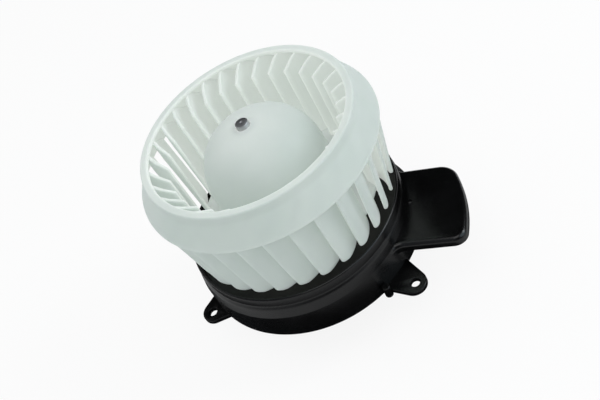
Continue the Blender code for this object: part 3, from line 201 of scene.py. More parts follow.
# Fineness of the shapes, and the angles in degrees up to which edges are shaded smooth
SMOOTH_FACETS = 180
SHAFT_FACETS = 72
PIN_FACETS = 40
HOLE_FACETS = 48
BORE_FACETS = 24
WELD_GAP = 0.000005
STRAIGHT_HALF_ANGLE = 1.55
SEARCH_STEPS = 30
WHEEL_SMOOTH_TO = 40.0
SHAFT_SMOOTH_TO = 30.0
BASE_SMOOTH_TO = 38.0

# Finishes
CLOUD_DETAIL = 5.0
GRAIN_DETAIL = 3.0
CLOUD_TONES_AT = (0.32, 0.68)
CLOUD_GLOSS_RANGE = (0.3, 0.7)
STRIPE_DISTORTION = 0.6
STRIPE_DETAIL = 2.0
MILKY_TONES = ((0.43, 0.48, 0.463), (0.475, 0.515, 0.50))
MILKY_SCATTER_SHARE = 0.75
MILKY_SCATTER_RADIUS = (0.9, 1.0, 0.85)
MILKY_SCATTER_DEPTH = 6.0 * MM
MILKY_SHINE = 0.25
BLACK_DARK_SHARES = (0.75, 0.78, 0.82)
BLACK_LIGHT_SHARES = (1.25, 1.3, 1.4)
BLACK_SHINE = 0.35

# Painted light: a glow painted on the wheel, stronger on faces towards the shaft than on faces away
# from it, in place of the light that the translucent wall passes
PAINTED_GLOW_INSIDE = (0.33, 0.33, 0.315, 1.0)
PAINTED_GLOW_OUTSIDE = (0.105, 0.118, 0.113, 1.0)
PAINTED_GLOW_FACING = (-0.8, 0.8)

# Soft boxes that gloss shows: azimuth, height, outer and inner half angle, colour
ROOM_TONE = (0.012, 0.013, 0.014, 1.0)
SOFT_BOXES = (
    (-125.0, 24.0, 52.0, 30.0, (0.28, 0.30, 0.33, 1.0)),
    (-8.0, 30.0, 34.0, 18.0, (1.5, 1.8, 2.0, 1.0)),
)

# Floor, and a painted shadow on it close to the base that gloss alone shows, for the base to reflect
FLOOR_HALF = 3.0
FLOOR_GRID = 8
FLOOR_TONE = (0.86, 0.86, 0.86, 1.0)
FLOOR_PAINTED_SHADOW_TONE = (0.02, 0.022, 0.024, 1.0)
FLOOR_PAINTED_SHADOW_R = 0.12
FLOOR_PAINTED_SHADOW_END_R = 0.155
FLOOR_GLOW_SHARE = 0.88

# Light of the room, and lamps: name, place, width and height, power, colour
ROOM_LIGHT = (0.97, 0.985, 1.0, 1.0)
ROOM_STRENGTH = 0.62
BACKDROP = (1.0, 1.0, 1.0, 1.0)
LAMP_TARGET = (0.0, 0.0, 0.08)
LAMPS = (
    ("key", (0.25, -0.5, 1.25), (0.8, 0.8), 3.8, (1.0, 1.0, 1.0)),
    ("fill", (1.1, 0.4, 0.9), (0.5, 0.6), 6.0, (0.93, 0.97, 1.0)),
    ("back", (-1.2, 0.1, 0.9), (0.8, 0.8), 1.5, (1.0, 1.0, 1.0)),
)

# Camera at the photo's viewing angle
CAMERA_LENS = 51.0
CAMERA_SENSOR = 36.0
CAMERA_PLACE = Matrix((
    (0.91097, 0.11855, 0.39507, 0.2144),
    (0.16274, 0.77680, -0.60835, -0.3200),
    (-0.37901, 0.61848, 0.68835, 0.4327),
    (0.0, 0.0, 0.0, 1.0)))


# Geometry helpers

def polar(radius, degrees, z=0.0):
    angle = math.radians(degrees)
    return Vector((radius * math.cos(angle), radius * math.sin(angle), z))


def about_shaft(degrees):
    return Matrix.Rotation(math.radians(degrees), 4, "Z")


def new_object(name, mesh):
    item = bpy.data.objects.new(name, mesh)
    bpy.context.scene.collection.objects.link(item)
    return item


def drop(*items):
    for item in items:
        bpy.data.objects.remove(item, do_unlink=True)


def arc(centre, radius, start, end, steps):
    points = []
    for i in range(steps + 1):
        angle = math.radians(start + (end - start) * i / steps)
        points.append((centre[0] + radius * math.cos(angle), centre[1] + radius * math.sin(angle)))
    return points


def circle(centre, radius, facets):
    return arc(centre, radius, 0.0, 360.0 - 360.0 / facets, facets - 1)


def rounded(corners, steps=5):
    """Closed outline whose corners, given as (x, y, radius), are rounded off."""
    points = []
    count = len(corners)
    for i in range(count):
        x, y, radius = corners[i]
        here = Vector((x, y))
        before = (Vector(corners[i - 1][:2]) - here).normalized()
        after = (Vector(corners[(i + 1) % count][:2]) - here).normalized()
        half = before.angle(after) / 2
        if radius == 0.0 or half > STRAIGHT_HALF_ANGLE:
            points.append((x, y))
            continue
        reach = radius / math.tan(half)
        middle = here + (before + after).normalized() * (radius / math.sin(half))
        first = here + before * reach - middle
        last = here + after * reach - middle
        turn = math.atan2(first.cross(last), first.dot(last))
        for step in range(steps + 1):
            angle = turn * step / steps
            cosine = math.cos(angle)
            sine = math.sin(angle)
            points.append((middle.x + first.x * cosine - first.y * sine,
                           middle.y + first.x * sine + first.y * cosine))
    return points


def solid_of(item):
    """Mesh of an object after its modifiers or curve settings, with its seams welded."""
    bpy.context.view_layer.update()
    shape = item.evaluated_get(bpy.context.evaluated_depsgraph_get())
    mesh = bpy.data.meshes.new_from_object(shape)
    mesh.transform(item.matrix_world)
    builder = bmesh.new()
    builder.from_mesh(mesh)
    bmesh.ops.remove_doubles(builder, verts=builder.verts, dist=WELD_GAP)
    builder.to_mesh(mesh)
    builder.free()
    return mesh


def turned(name, profile, facets=SMOOTH_FACETS, closed=True):
    mesh = bpy.data.meshes.new(name)
    count = len(profile)
    edges = [(i, i + 1) for i in range(count - 1)]
    if closed:
        edges.append((count - 1, 0))
    mesh.from_pydata([(r, 0.0, z) for r, z in profile], edges, [])
    item = new_object(name, mesh)
    screw = item.modifiers.new("turn", "SCREW")
    screw.axis = "Z"
    screw.steps = facets
    screw.render_steps = facets
    screw.use_merge_vertices = True
    screw.merge_threshold = WELD_GAP
    screw.use_smooth_shade = False
    solid = solid_of(item)
    drop(item)
    builder = bmesh.new()
    builder.from_mesh(solid)
    bmesh.ops.recalc_face_normals(builder, faces=builder.faces)
    builder.to_mesh(solid)
    builder.free()
    return new_object(name, solid)


def prism(name, outlines, low, high, place=None, edge=0.0, inset=0.0, steps=2):
    """Flat outline, with holes where more than one is given, thick from one level to another."""
    curve = bpy.data.curves.new(name, "CURVE")
    curve.dimensions = "2D"
    curve.fill_mode = "BOTH"
    curve.extrude = (high - low) / 2 - edge
    curve.bevel_depth = edge
    curve.bevel_resolution = steps
    curve.offset = -edge - inset
    for outline in outlines:
        spline = curve.splines.new("POLY")
        spline.points.add(len(outline) - 1)
        for point, (x, y) in zip(spline.points, outline):
            point.co = (x, y, 0.0, 1.0)
        spline.use_cyclic_u = True
    item = new_object(name, curve)
    item.location.z = (low + high) / 2
    solid = solid_of(item)
    drop(item)
    if place is not None:
        solid.transform(place)
    return new_object(name, solid)


def rod(name, radius, low, high, centre, edge=0.0):
    """Upright pin with rounded rims."""
    corners = [(0.0, high, 0.0), (radius, high, edge), (radius, low, edge), (0.0, low, 0.0)]
    pin = turned(name, rounded(corners), PIN_FACETS, closed=False)
    pin.data.transform(Matrix.Translation(centre))
    return pin


def joined(name, items):
    builder = bmesh.new()
    for item in items:
        builder.from_mesh(item.data)
    drop(*items)
    mesh = bpy.data.meshes.new(name)
    builder.to_mesh(mesh)
    builder.free()
    return new_object(name, mesh)


def boolean(target, tool, operation):
    """Cuts or joins at once, and clears the tool away."""
    modifier = target.modifiers.new("cut", "BOOLEAN")
    modifier.operation = operation
    modifier.object = tool
    modifier.solver = "EXACT"
    target.data = solid_of(target)
    target.modifiers.clear()
    drop(tool)


def smooth(item, degrees):
    item.data.shade_smooth()
    item.data.set_sharp_from_angle(angle=math.radians(degrees))


def between(level, low, low_value, high, high_value):
    return low_value + (high_value - low_value) * (level - low) / (high - low)


# Finishes

def node(tree, kind, **settings):
    made = tree.nodes.new(kind)
    for key, value in settings.items():
        setattr(made, key, value)
    return made


def finish(name, dark, light, roughness, metallic=0.0, blotch=45.0, grain=1400.0, depth=0.00002,
           spread=0.06, stretch=(1.0, 1.0, 1.0), stripes=None):
    """Procedural finish: cloudy colour between two tones, fine grain in gloss and bump."""
    made = bpy.data.materials.new(name)
    made.use_nodes = True
    tree = made.node_tree
    shader = tree.nodes["Principled BSDF"]
    shader.inputs["Metallic"].default_value = metallic
    place = node(tree, "ShaderNodeTexCoord")
    scale = node(tree, "ShaderNodeMapping")
    scale.inputs["Scale"].default_value = stretch
    tree.links.new(place.outputs["Object"], scale.inputs["Vector"])
    clouds = node(tree, "ShaderNodeTexNoise")
    clouds.inputs["Scale"].default_value = blotch
    clouds.inputs["Detail"].default_value = CLOUD_DETAIL
    tree.links.new(scale.outputs["Vector"], clouds.inputs["Vector"])
    tones = node(tree, "ShaderNodeValToRGB")
    for stop, position, tone in zip(tones.color_ramp.elements, CLOUD_TONES_AT, (dark, light)):
        stop.position = position
        stop.color = (*tone, 1.0)
    tree.links.new(clouds.outputs["Fac"], tones.inputs["Fac"])
    tree.links.new(tones.outputs["Color"], shader.inputs["Base Color"])
    fine = node(tree, "ShaderNodeTexNoise")
    fine.inputs["Scale"].default_value = grain
    fine.inputs["Detail"].default_value = GRAIN_DETAIL
    tree.links.new(scale.outputs["Vector"], fine.inputs["Vector"])
    gloss = node(tree, "ShaderNodeMapRange")
    gloss.inputs["From Min"].default_value = CLOUD_GLOSS_RANGE[0]
    gloss.inputs["From Max"].default_value = CLOUD_GLOSS_RANGE[1]
    gloss.inputs["To Min"].default_value = roughness - spread
    gloss.inputs["To Max"].default_value = roughness + spread
    tree.links.new(clouds.outputs["Fac"], gloss.inputs["Value"])
    tree.links.new(gloss.outputs["Result"], shader.inputs["Roughness"])
    bump = node(tree, "ShaderNodeBump")
    bump.inputs["Distance"].default_value = depth
    bump.inputs["Strength"].default_value = 1.0
    tree.links.new(fine.outputs["Fac"], bump.inputs["Height"])
    tree.links.new(bump.outputs["Normal"], shader.inputs["Normal"])
    if stripes:
        count, direction, stripe_depth = stripes
        wave = node(tree, "ShaderNodeTexWave", wave_type="BANDS", bands_direction=direction)
        wave.inputs["Scale"].default_value = count
        wave.inputs["Distortion"].default_value = STRIPE_DISTORTION
        wave.inputs["Detail"].default_value = STRIPE_DETAIL
        tree.links.new(place.outputs["Object"], wave.inputs["Vector"])
        ridges = node(tree, "ShaderNodeBump")
        ridges.inputs["Distance"].default_value = stripe_depth
        tree.links.new(wave.outputs["Fac"], ridges.inputs["Height"])
        tree.links.new(bump.outputs["Normal"], ridges.inputs["Normal"])
        tree.links.new(ridges.outputs["Normal"], shader.inputs["Normal"])
    return made


def milky_plastic_painted_glow():
    """Translucent unpigmented plastic: mint white, with a painted glow that is stronger on the faces
    inside.
    """
    made = finish("milky_wheel_plastic_painted_glow", *MILKY_TONES, 0.5, blotch=26.0, grain=900.0, depth=0.00003,
                  spread=0.05)
    tree = made.node_tree
    shader = tree.nodes["Principled BSDF"]
    shader.inputs["Subsurface Weight"].default_value = MILKY_SCATTER_SHARE
    shader.inputs["Subsurface Radius"].default_value = MILKY_SCATTER_RADIUS
    shader.inputs["Subsurface Scale"].default_value = MILKY_SCATTER_DEPTH
    shader.inputs["Specular IOR Level"].default_value = MILKY_SHINE
    # Painted light: an emission colour, brighter on faces towards the shaft and darker on faces away
    # from it
    place = node(tree, "ShaderNodeTexCoord")
    flat = node(tree, "ShaderNodeVectorMath", operation="MULTIPLY")
    flat.inputs[1].default_value = (1.0, 1.0, 0.0)
    tree.links.new(place.outputs["Object"], flat.inputs[0])
    outward = node(tree, "ShaderNodeVectorMath", operation="NORMALIZE")
    tree.links.new(flat.outputs["Vector"], outward.inputs[0])
    facing = node(tree, "ShaderNodeVectorMath", operation="DOT_PRODUCT")
    tree.links.new(outward.outputs["Vector"], facing.inputs[0])
    tree.links.new(place.outputs["Normal"], facing.inputs[1])
    share = node(tree, "ShaderNodeMapRange")
    share.inputs["From Min"].default_value = PAINTED_GLOW_FACING[0]
    share.inputs["From Max"].default_value = PAINTED_GLOW_FACING[1]
    tree.links.new(facing.outputs["Value"], share.inputs["Value"])
    glow = node(tree, "ShaderNodeMix", data_type="RGBA")
    glow.inputs["A"].default_value = PAINTED_GLOW_INSIDE
    glow.inputs["B"].default_value = PAINTED_GLOW_OUTSIDE
    tree.links.new(share.outputs["Result"], glow.inputs["Factor"])
    tree.links.new(glow.outputs["Result"], shader.inputs["Emission Color"])
    shader.inputs["Emission Strength"].default_value = 1.0
    return made


def black_plastic(name, tone, roughness, grain):
    dark = [tone * share for share in BLACK_DARK_SHARES]
    light = [tone * share for share in BLACK_LIGHT_SHARES]
    made = finish(name, dark, light, roughness, blotch=70.0, grain=grain, depth=0.00003, spread=0.03)
    made.node_tree.nodes["Principled BSDF"].inputs["Specular IOR Level"].default_value = BLACK_SHINE
    return made


# Wheel

def blade_arc(outer_r, share):
    """Middle line of a blade: its point and outward side at a share from -1 to 1."""
    inner = polar(BLADE_INNER_R, BLADE_SWEEP).xy
    outer = polar(outer_r, 0.0).xy
    along = (outer - inner).normalized()
    side = Vector((-along.y, along.x))
    half_turn = math.radians(BLADE_TURN / 2)
    radius = (outer - inner).length / (2 * math.sin(half_turn))
    turn = half_turn * share
    point = (inner + outer) / 2 + along * radius * math.sin(turn)
    point += side * radius * (math.cos(turn) - math.cos(half_turn))
    return point, along * math.sin(turn) + side * math.cos(turn)


def blade_share_at(outer_r, radius):
    """Share of the middle line at which the blade reaches a distance from the shaft."""
    low = -1.0
    high = 1.0
    for _ in range(SEARCH_STEPS):
        middle = (low + high) / 2
        if blade_arc(outer_r, middle)[0].length < radius:
            low = middle
        else:
            high = middle
    return (low + high) / 2


def blade_section(arc_outer_r, inner_r, outer_r, z, thickness):
    """Outline of a blade across the shaft, with round ends."""
    half = thickness / 2
    first = blade_share_at(arc_outer_r, inner_r + half)
    last = blade_share_at(arc_outer_r, outer_r - half)
    front = []
    back = []
    for i in range(BLADE_STEPS + 1):
        point, side = blade_arc(arc_outer_r, first + (last - first) * i / BLADE_STEPS)
        front.append(point + side * half)
        back.append(point - side * half)
    end, end_side = blade_arc(arc_outer_r, last)
    start, start_side = blade_arc(arc_outer_r, first)
    end_along = Vector((end_side.y, -end_side.x))
    start_along = Vector((start_side.y, -start_side.x))
    cap = []
    foot = []
    for angle in BLADE_CAP_ANGLES:
        cosine = math.cos(math.radians(angle)) * half
        sine = math.sin(math.radians(angle)) * half
        cap.append(end + end_side * cosine + end_along * sine)
        foot.append(start - start_side * cosine - start_along * sine)
    outline = front + cap + back[::-1] + foot
    return [Vector((p.x, p.y, z)) for p in outline]


def loft(builder, sections):
    rings = [[builder.verts.new(point) for point in section] for section in sections]
    count = len(rings[0])
    for low, high in zip(rings, rings[1:]):
        for i in range(count):
            j = (i + 1) % count
            builder.faces.new((low[i], high[i], high[j], low[j]))
    builder.faces.new(rings[0])
    builder.faces.new(rings[-1][::-1])


def wheel_blades():
    half_wall = RING_WALL / 2
    ring_middle_r = RING_R - half_wall
    neck_middle_r = RING_NECK_R - half_wall
    lip_middle_z = RIM_Z - LIP_THICKNESS / 2
    lip_inner_r = LIP_R + half_wall
    ring_z = RING_FOOT_Z + RING_WALL
    slant_r = between(BLADE_SLANT_Z, ring_z, ring_middle_r, RING_NECK_Z, neck_middle_r)
    neck_inner_r = between(RING_NECK_Z, BLADE_SLANT_Z, BLADE_INNER_R, lip_middle_z, lip_inner_r)
    sections = []
    for step in range(BLADE_CORNER_STEPS + 1):
        share = step / BLADE_CORNER_STEPS
        z = TIP_Z + BLADE_CORNER_HEIGHT * (1.0 - math.cos(share * math.pi / 2))
        edge_r = between(z, TIP_Z, TIP_R, ring_z, ring_middle_r)
        outer_r = edge_r - BLADE_CORNER_CUT * (1.0 - math.sin(share * math.pi / 2))
        thickness = BLADE_THICKNESS * min(1.0, BLADE_TIP_THICKNESS_SHARE + BLADE_THICKENING * share)
        sections.append(blade_section(edge_r, BLADE_INNER_R, outer_r, z, thickness))
    for z in BLADE_MIDDLE_LEVELS:
        edge_r = between(z, TIP_Z, TIP_R, ring_z, ring_middle_r)
        sections.append(blade_section(edge_r, BLADE_INNER_R, edge_r, z, BLADE_THICKNESS))
    in_ring = (
        (BLADE_INNER_R, ring_middle_r, ring_z),
        (BLADE_INNER_R, slant_r, BLADE_SLANT_Z),
        (neck_inner_r, neck_middle_r, RING_NECK_Z),
        (lip_inner_r, RIM_R - half_wall, lip_middle_z),
    )
    for inner_r, outer_r, z in in_ring:
        sections.append(blade_section(ring_middle_r, inner_r, outer_r, z, BLADE_THICKNESS))
    builder = bmesh.new()
    for index in range(BLADE_COUNT):
        turn = about_shaft(BLADE_PHASE + 360.0 * index / BLADE_COUNT)
        loft(builder, [[turn @ point for point in section] for section in sections])
    bmesh.ops.recalc_face_normals(builder, faces=builder.faces)
    mesh = bpy.data.meshes.new("wheel_blades")
    builder.to_mesh(mesh)
    builder.free()
    return new_object("wheel_blades", mesh)


def wheel_ring():
    low = RING_FOOT_Z
    corners = [
        (LIP_R, RIM_Z, LIP_ROUND),
        (RIM_R, RIM_Z, LIP_ROUND),
        (RING_NECK_R, RING_NECK_Z, RING_NECK_ROUND),
        (RING_R, low + RING_WALL, RING_SHOULDER_ROUND),
        (RING_R, low, RING_FOOT_ROUND),
        (RING_R - RING_WALL, low, RING_FOOT_ROUND),
        (RING_R - RING_WALL, low + RING_WALL, RING_SHOULDER_INNER_ROUND),
        (RING_NECK_R - RING_WALL, RING_NECK_Z, RING_NECK_INNER_ROUND),
        (RIM_R - RING_WALL, RIM_Z - LIP_THICKNESS, RIM_INNER_ROUND),
        (LIP_R, RIM_Z - LIP_THICKNESS, LIP_INNER_ROUND),
    ]
    return turned("wheel_ring", rounded(corners, RING_ROUND_STEPS))


def crown_points(outer_r, top_z, crown, first_r, steps):
    points = []
    for i in range(steps + 1):
        share = math.sin(math.pi / 2 * i / steps)
        radius = first_r + (outer_r - first_r) * share
        rise = (1.0 - min(radius / outer_r, 1.0) ** HUB_CROWN_POWER) ** (1.0 / HUB_CROWN_POWER)
        points.append((radius, top_z - crown * (1.0 - rise)))
    return points


def wheel_hub():
    skirt_r = HUB_R + HUB_DRAFT + HUB_SKIRT_R
    skirt_centre = (skirt_r, DISC_TOP_Z + HUB_SKIRT_R)
    outer = [(BORE_R + BORE_CHAMFER, RIM_Z), (HUB_BOSS_R - HUB_WALL - HUB_BOSS_EDGE, RIM_Z)]
    outer += [(HUB_BOSS_R - HUB_WALL, RIM_Z - HUB_BOSS_EDGE_DROP)]
    outer += crown_points(HUB_R, HUB_TOP_Z, HUB_CROWN, HUB_BOSS_R, HUB_OUTER_STEPS)
    outer += arc(skirt_centre, HUB_SKIRT_R, 180.0, 270.0, SKIRT_OUTER_STEPS)
    edge_centre = (DISC_R - DISC_EDGE_R, DISC_TOP_Z - DISC_EDGE_R)
    outer += arc(edge_centre, DISC_EDGE_R, 90.0, -90.0, DISC_EDGE_STEPS)
    under_z = DISC_TOP_Z - HUB_WALL
    under_r = HUB_SKIRT_R + HUB_WALL
    inner = arc((skirt_r, under_z + HUB_SKIRT_R + HUB_WALL), under_r, 270.0, 180.0, SKIRT_INNER_STEPS)
    crown = crown_points(HUB_R - HUB_WALL, HUB_TOP_Z - HUB_WALL, HUB_CROWN - HUB_WALL, HUB_BOSS_R,
                         HUB_INNER_STEPS)
    inner += crown[::-1]
    inner += [(HUB_BOSS_R, HUB_BOSS_Z), (BORE_R, HUB_BOSS_Z), (BORE_R, RIM_Z - BORE_CHAMFER)]
    return turned("wheel_hub", outer + inner)


def build_wheel():
    wheel = wheel_blades()
    wheel.name = "wheel"
    boolean(wheel, wheel_ring(), "UNION")
    boolean(wheel, wheel_hub(), "UNION")
    smooth(wheel, WHEEL_SMOOTH_TO)
    wheel.data.materials.append(milky_plastic_painted_glow())
    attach(wheel, "rotor")
    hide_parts("impeller")


def build_shaft():
    low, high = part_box("shaft")
    top = high.z
    foot = low.z
    profile = [
        (0.0, top - DIMPLE_DEPTH),
        (DIMPLE_MIDDLE_R, top - DIMPLE_MIDDLE_DEPTH),
        (DIMPLE_R, top),
        (SHAFT_R - SHAFT_CHAMFER, top),
        (SHAFT_R - SHAFT_EDGE, top - SHAFT_EDGE_DROP),
        (SHAFT_R, top - SHAFT_CHAMFER),
        (SHAFT_R, foot + SHAFT_CHAMFER),
        (SHAFT_R - SHAFT_CHAMFER, foot),
        (0.0, foot),
    ]
    shaft = turned("motor_shaft", profile, SHAFT_FACETS, closed=False)
    smooth(shaft, SHAFT_SMOOTH_TO)
    shaft.data.materials.append(finish(
        "ground_shaft_steel", (0.46, 0.46, 0.47), (0.60, 0.60, 0.61), 0.52, 1.0, blotch=120.0,
        grain=700.0, depth=0.000012, stretch=(1.0, 1.0, 14.0)))
    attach(shaft, "rotor")
    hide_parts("shaft")


# Base

def lean_at(z):
    """Offset of the round wall from the shaft at a level: the wall in the photo leans to one side."""
    if z <= SHOULDER_Z:
        size = SHOULDER_LEAN * (z - SEAT_Z) / (SHOULDER_Z - SEAT_Z)
    elif z <= NECK_Z:
        size = between(z, SHOULDER_Z, SHOULDER_LEAN, NECK_Z, NECK_LEAN)
    else:
        size = NECK_LEAN
    return polar(size, LEAN_ANGLE)


def lean_towards(z, degrees):
    return lean_at(z).dot(polar(1.0, degrees))


def wall_radius(z):
    return between(z, SEAT_Z, FOOT_R, SHOULDER_Z, SHOULDER_R)


def base_body():
    deck_under = DECK_Z - BASE_WALL
    lip_inner = NECK_R - BASE_WALL
    corners = [
        (TUBE_LIP_R, TUBE_TOP_Z, TUBE_TOP_ROUND),
        (TUBE_R, TUBE_TOP_Z, TUBE_TOP_ROUND),
        (TUBE_R, DECK_Z, DECK_ROUND),
        (lip_inner, DECK_Z, DECK_ROUND),
        (lip_inner, BASE_TOP_Z, BASE_TOP_INNER_ROUND),
        (NECK_R, BASE_TOP_Z, BASE_TOP_ROUND),
        (NECK_R, NECK_Z + NECK_RISE, NECK_ROUND),
        (SHOULDER_R - SHOULDER_SET_BACK, NECK_Z - SHOULDER_DROP, SHOULDER_ROUND),
        (SHOULDER_R, SHOULDER_Z, SHOULDER_FOOT_ROUND),
        (FOOT_R, SEAT_Z, FOOT_ROUND),
        (FOOT_R - BASE_WALL, SEAT_Z, FOOT_INNER_ROUND),
        (SHOULDER_R - BASE_WALL, SHOULDER_Z, SHOULDER_INNER_ROUND),
        (lip_inner, deck_under, DECK_ROUND),
        (TUBE_R, deck_under, TUBE_ROOT_ROUND),
        (TUBE_R, TUBE_FOOT_Z, TUBE_FOOT_ROUND),
        (TUBE_INNER_R, TUBE_FOOT_Z, TUBE_FOOT_ROUND),
        (TUBE_INNER_R, TUBE_LIP_Z, TUBE_LIP_ROUND),
        (TUBE_LIP_R, TUBE_LIP_Z, TUBE_LIP_ROUND),
    ]
    body = turned("base", rounded(corners, BASE_ROUND_STEPS))
    wall_from = (TUBE_R + lip_inner) / 2
    for vertex in body.data.vertices:
        if vertex.co.xy.length > wall_from:
            vertex.co += lean_at(vertex.co.z)
    return body


def wing_outline():
    """Wing seen from above: roots that run into the round wall, rounded corners, an arched end."""
    near_root_steps, far_root_steps = WING_ROOT_STEPS
    level = SHOULDER_Z - WING_SKIRT / 2
    middle = lean_at(level)
    wall_r = wall_radius(level)
    near_y = WING_NEAR_Y - WING_NEAR_ROOT_R
    far_y = WING_FAR_Y + WING_FAR_ROOT_R
    near_x = middle.x + math.sqrt((wall_r + WING_NEAR_ROOT_R) ** 2 - (near_y - middle.y) ** 2)
    far_x = middle.x + math.sqrt((wall_r + WING_FAR_ROOT_R) ** 2 - (far_y - middle.y) ** 2)
    near_angle = math.degrees(math.atan2(near_y - middle.y, near_x - middle.x))
    far_angle = math.degrees(math.atan2(far_y - middle.y, far_x - middle.x))
    near_inside = middle + polar(wall_r - WING_ROOT_DEPTH, near_angle)
    far_inside = middle + polar(wall_r - WING_ROOT_DEPTH, far_angle)
    end_x = WING_REACH - WING_END_R
    near_corner_y = WING_NEAR_Y + WING_NEAR_CORNER_R
    far_corner_y = WING_FAR_Y - WING_FAR_CORNER_R
    near_span = WING_END_R - WING_NEAR_CORNER_R
    far_span = WING_END_R - WING_FAR_CORNER_R
    near_rise = near_corner_y - WING_END_CENTRE_Y
    far_rise = far_corner_y - WING_END_CENTRE_Y
    near_corner = (end_x + math.sqrt(near_span ** 2 - near_rise ** 2), near_corner_y)
    far_corner = (end_x + math.sqrt(far_span ** 2 - far_rise ** 2), far_corner_y)
    near_meet = math.degrees(math.asin(near_rise / near_span))
    far_meet = math.degrees(math.asin(far_rise / far_span))
    outline = [(near_inside.x, near_inside.y)]
    outline += arc((near_x, near_y), WING_NEAR_ROOT_R, near_angle + 180.0, 90.0, near_root_steps)
    outline += arc(near_corner, WING_NEAR_CORNER_R, -90.0, near_meet, WING_CORNER_STEPS)
    outline += arc((end_x, WING_END_CENTRE_Y), WING_END_R, near_meet, far_meet, WING_END_STEPS)[1:-1]
    outline += arc(far_corner, WING_FAR_CORNER_R, far_meet, 90.0, WING_CORNER_STEPS)
    outline += arc((far_x, far_y), WING_FAR_ROOT_R, -90.0, far_angle - 180.0, far_root_steps)
    outline += [(far_inside.x, far_inside.y)]
    return outline


def wing_shell():
    """Tray turned over: a rounded slab, hollowed from below and cut off at its skirt."""
    outline = wing_outline()
    low = SHOULDER_Z - WING_SKIRT
    slab_low = low - 2 * WING_EDGE_ROUND
    wing = prism("wing", [outline], slab_low, SHOULDER_Z, edge=WING_EDGE_ROUND,
                 steps=WING_EDGE_STEPS)
    hollow = prism("hollow", [outline], slab_low - WING_WALL, SHOULDER_Z - WING_WALL,
                   edge=WING_EDGE_ROUND - WING_WALL, inset=WING_WALL,
                   steps=WING_HOLLOW_STEPS)
    boolean(wing, hollow, "DIFFERENCE")
    reach = WING_REACH + WING_SKIRT
    field = [(0.0, -reach), (reach, -reach), (reach, reach), (0.0, reach)]
    boolean(wing, prism("below", [field], slab_low - 2 * WING_WALL, low), "DIFFERENCE")
    return wing


def ear(angle, hole_r):
    end_x = hole_r - EAR_HOLE_OFFSET
    root_x = FOOT_R - EAR_ROOT_DEPTH
    outline = [(root_x, -EAR_ROOT_HALF_WIDTH)]
    outline += arc((end_x, 0.0), EAR_END_R, -EAR_END_HALF_TURN, EAR_END_HALF_TURN, EAR_END_STEPS)
    outline += [(root_x, EAR_ROOT_HALF_WIDTH)]
    hole = circle((hole_r, 0.0), EAR_HOLE_R, HOLE_FACETS)
    top_z = SEAT_Z + EAR_THICKNESS
    return prism("ear", [outline, hole], SEAT_Z, top_z, about_shaft(angle), EAR_EDGE_ROUND)


def rib(angle):
    inner_r = TUBE_R - RIB_ROOT_DEPTH
    deck_middle = DECK_Z - BASE_WALL / 2
    half_wall = BASE_WALL / 2
    outline = [
        (inner_r, RIB_LOW_Z),
        (wall_radius(RIB_LOW_Z) - half_wall + lean_towards(RIB_LOW_Z, angle), RIB_LOW_Z),
        (SHOULDER_R - half_wall + lean_towards(SHOULDER_Z, angle), SHOULDER_Z),
        (NECK_R - BASE_WALL + lean_towards(deck_middle, angle), deck_middle),
        (inner_r, deck_middle),
    ]
    half = RIB_THICKNESS / 2
    upright = about_shaft(angle) @ Matrix.Rotation(math.pi / 2, 4, "X")
    return prism("rib", [outline], -half, half, upright)


def wall_trim(level):
    """Cutter that keeps the ears and the wing out of the space inside the wall."""
    centre = lean_at(level)
    return rod("trim", wall_radius(level) - BASE_WALL / 2, 0.0, BASE_TOP_Z, centre)


def build_base():
    wing = wing_shell()
    boolean(wing, wall_trim(SHOULDER_Z - WING_SKIRT / 2), "DIFFERENCE")
    wall_r = SHOULDER_R + lean_towards(SHOULDER_Z, DRAIN_HOLE_ANGLE)
    drain = polar(wall_r + DRAIN_HOLE_FROM_WALL, DRAIN_HOLE_ANGLE)
    drain_low = SHOULDER_Z - WING_SKIRT
    drain_high = SHOULDER_Z + WING_SKIRT
    boolean(wing, rod("drain", DRAIN_HOLE_R, drain_low, drain_high, drain), "DIFFERENCE")
    ears = joined("ears", [ear(angle, hole_r) for angle, hole_r in EARS])
    boolean(ears, wall_trim(SEAT_Z), "DIFFERENCE")
    pieces = [wing, ears]
    pieces += [rib(360.0 * index / RIB_COUNT) for index in range(RIB_COUNT)]
    for angle in SCREW_ANGLES:
        centre = polar(SCREW_CIRCLE_R, angle)
        outline = circle(centre, BOSS_R, HOLE_FACETS)
        bore = circle(centre, PILOT_R, BORE_FACETS)
        pieces.append(prism("boss", [outline, bore], TUBE_FOOT_Z, BOSS_TOP_Z))
    pieces.append(rod("peg", PEG_R, PEG_LOW_Z, PEG_TOP_Z, polar(PEG_CENTRE_R, PEG_ANGLE), PEG_ROUND))
    base = base_body()
    for piece in pieces:
        boolean(base, piece, "UNION")
    smooth(base, BASE_SMOOTH_TO)
    base.data.materials.append(black_plastic("black_base_plastic", 0.0018, 0.24, 1500.0))
    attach(base, "housing")
    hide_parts("mounting_base")


# The other solids keep their shape and get a finish

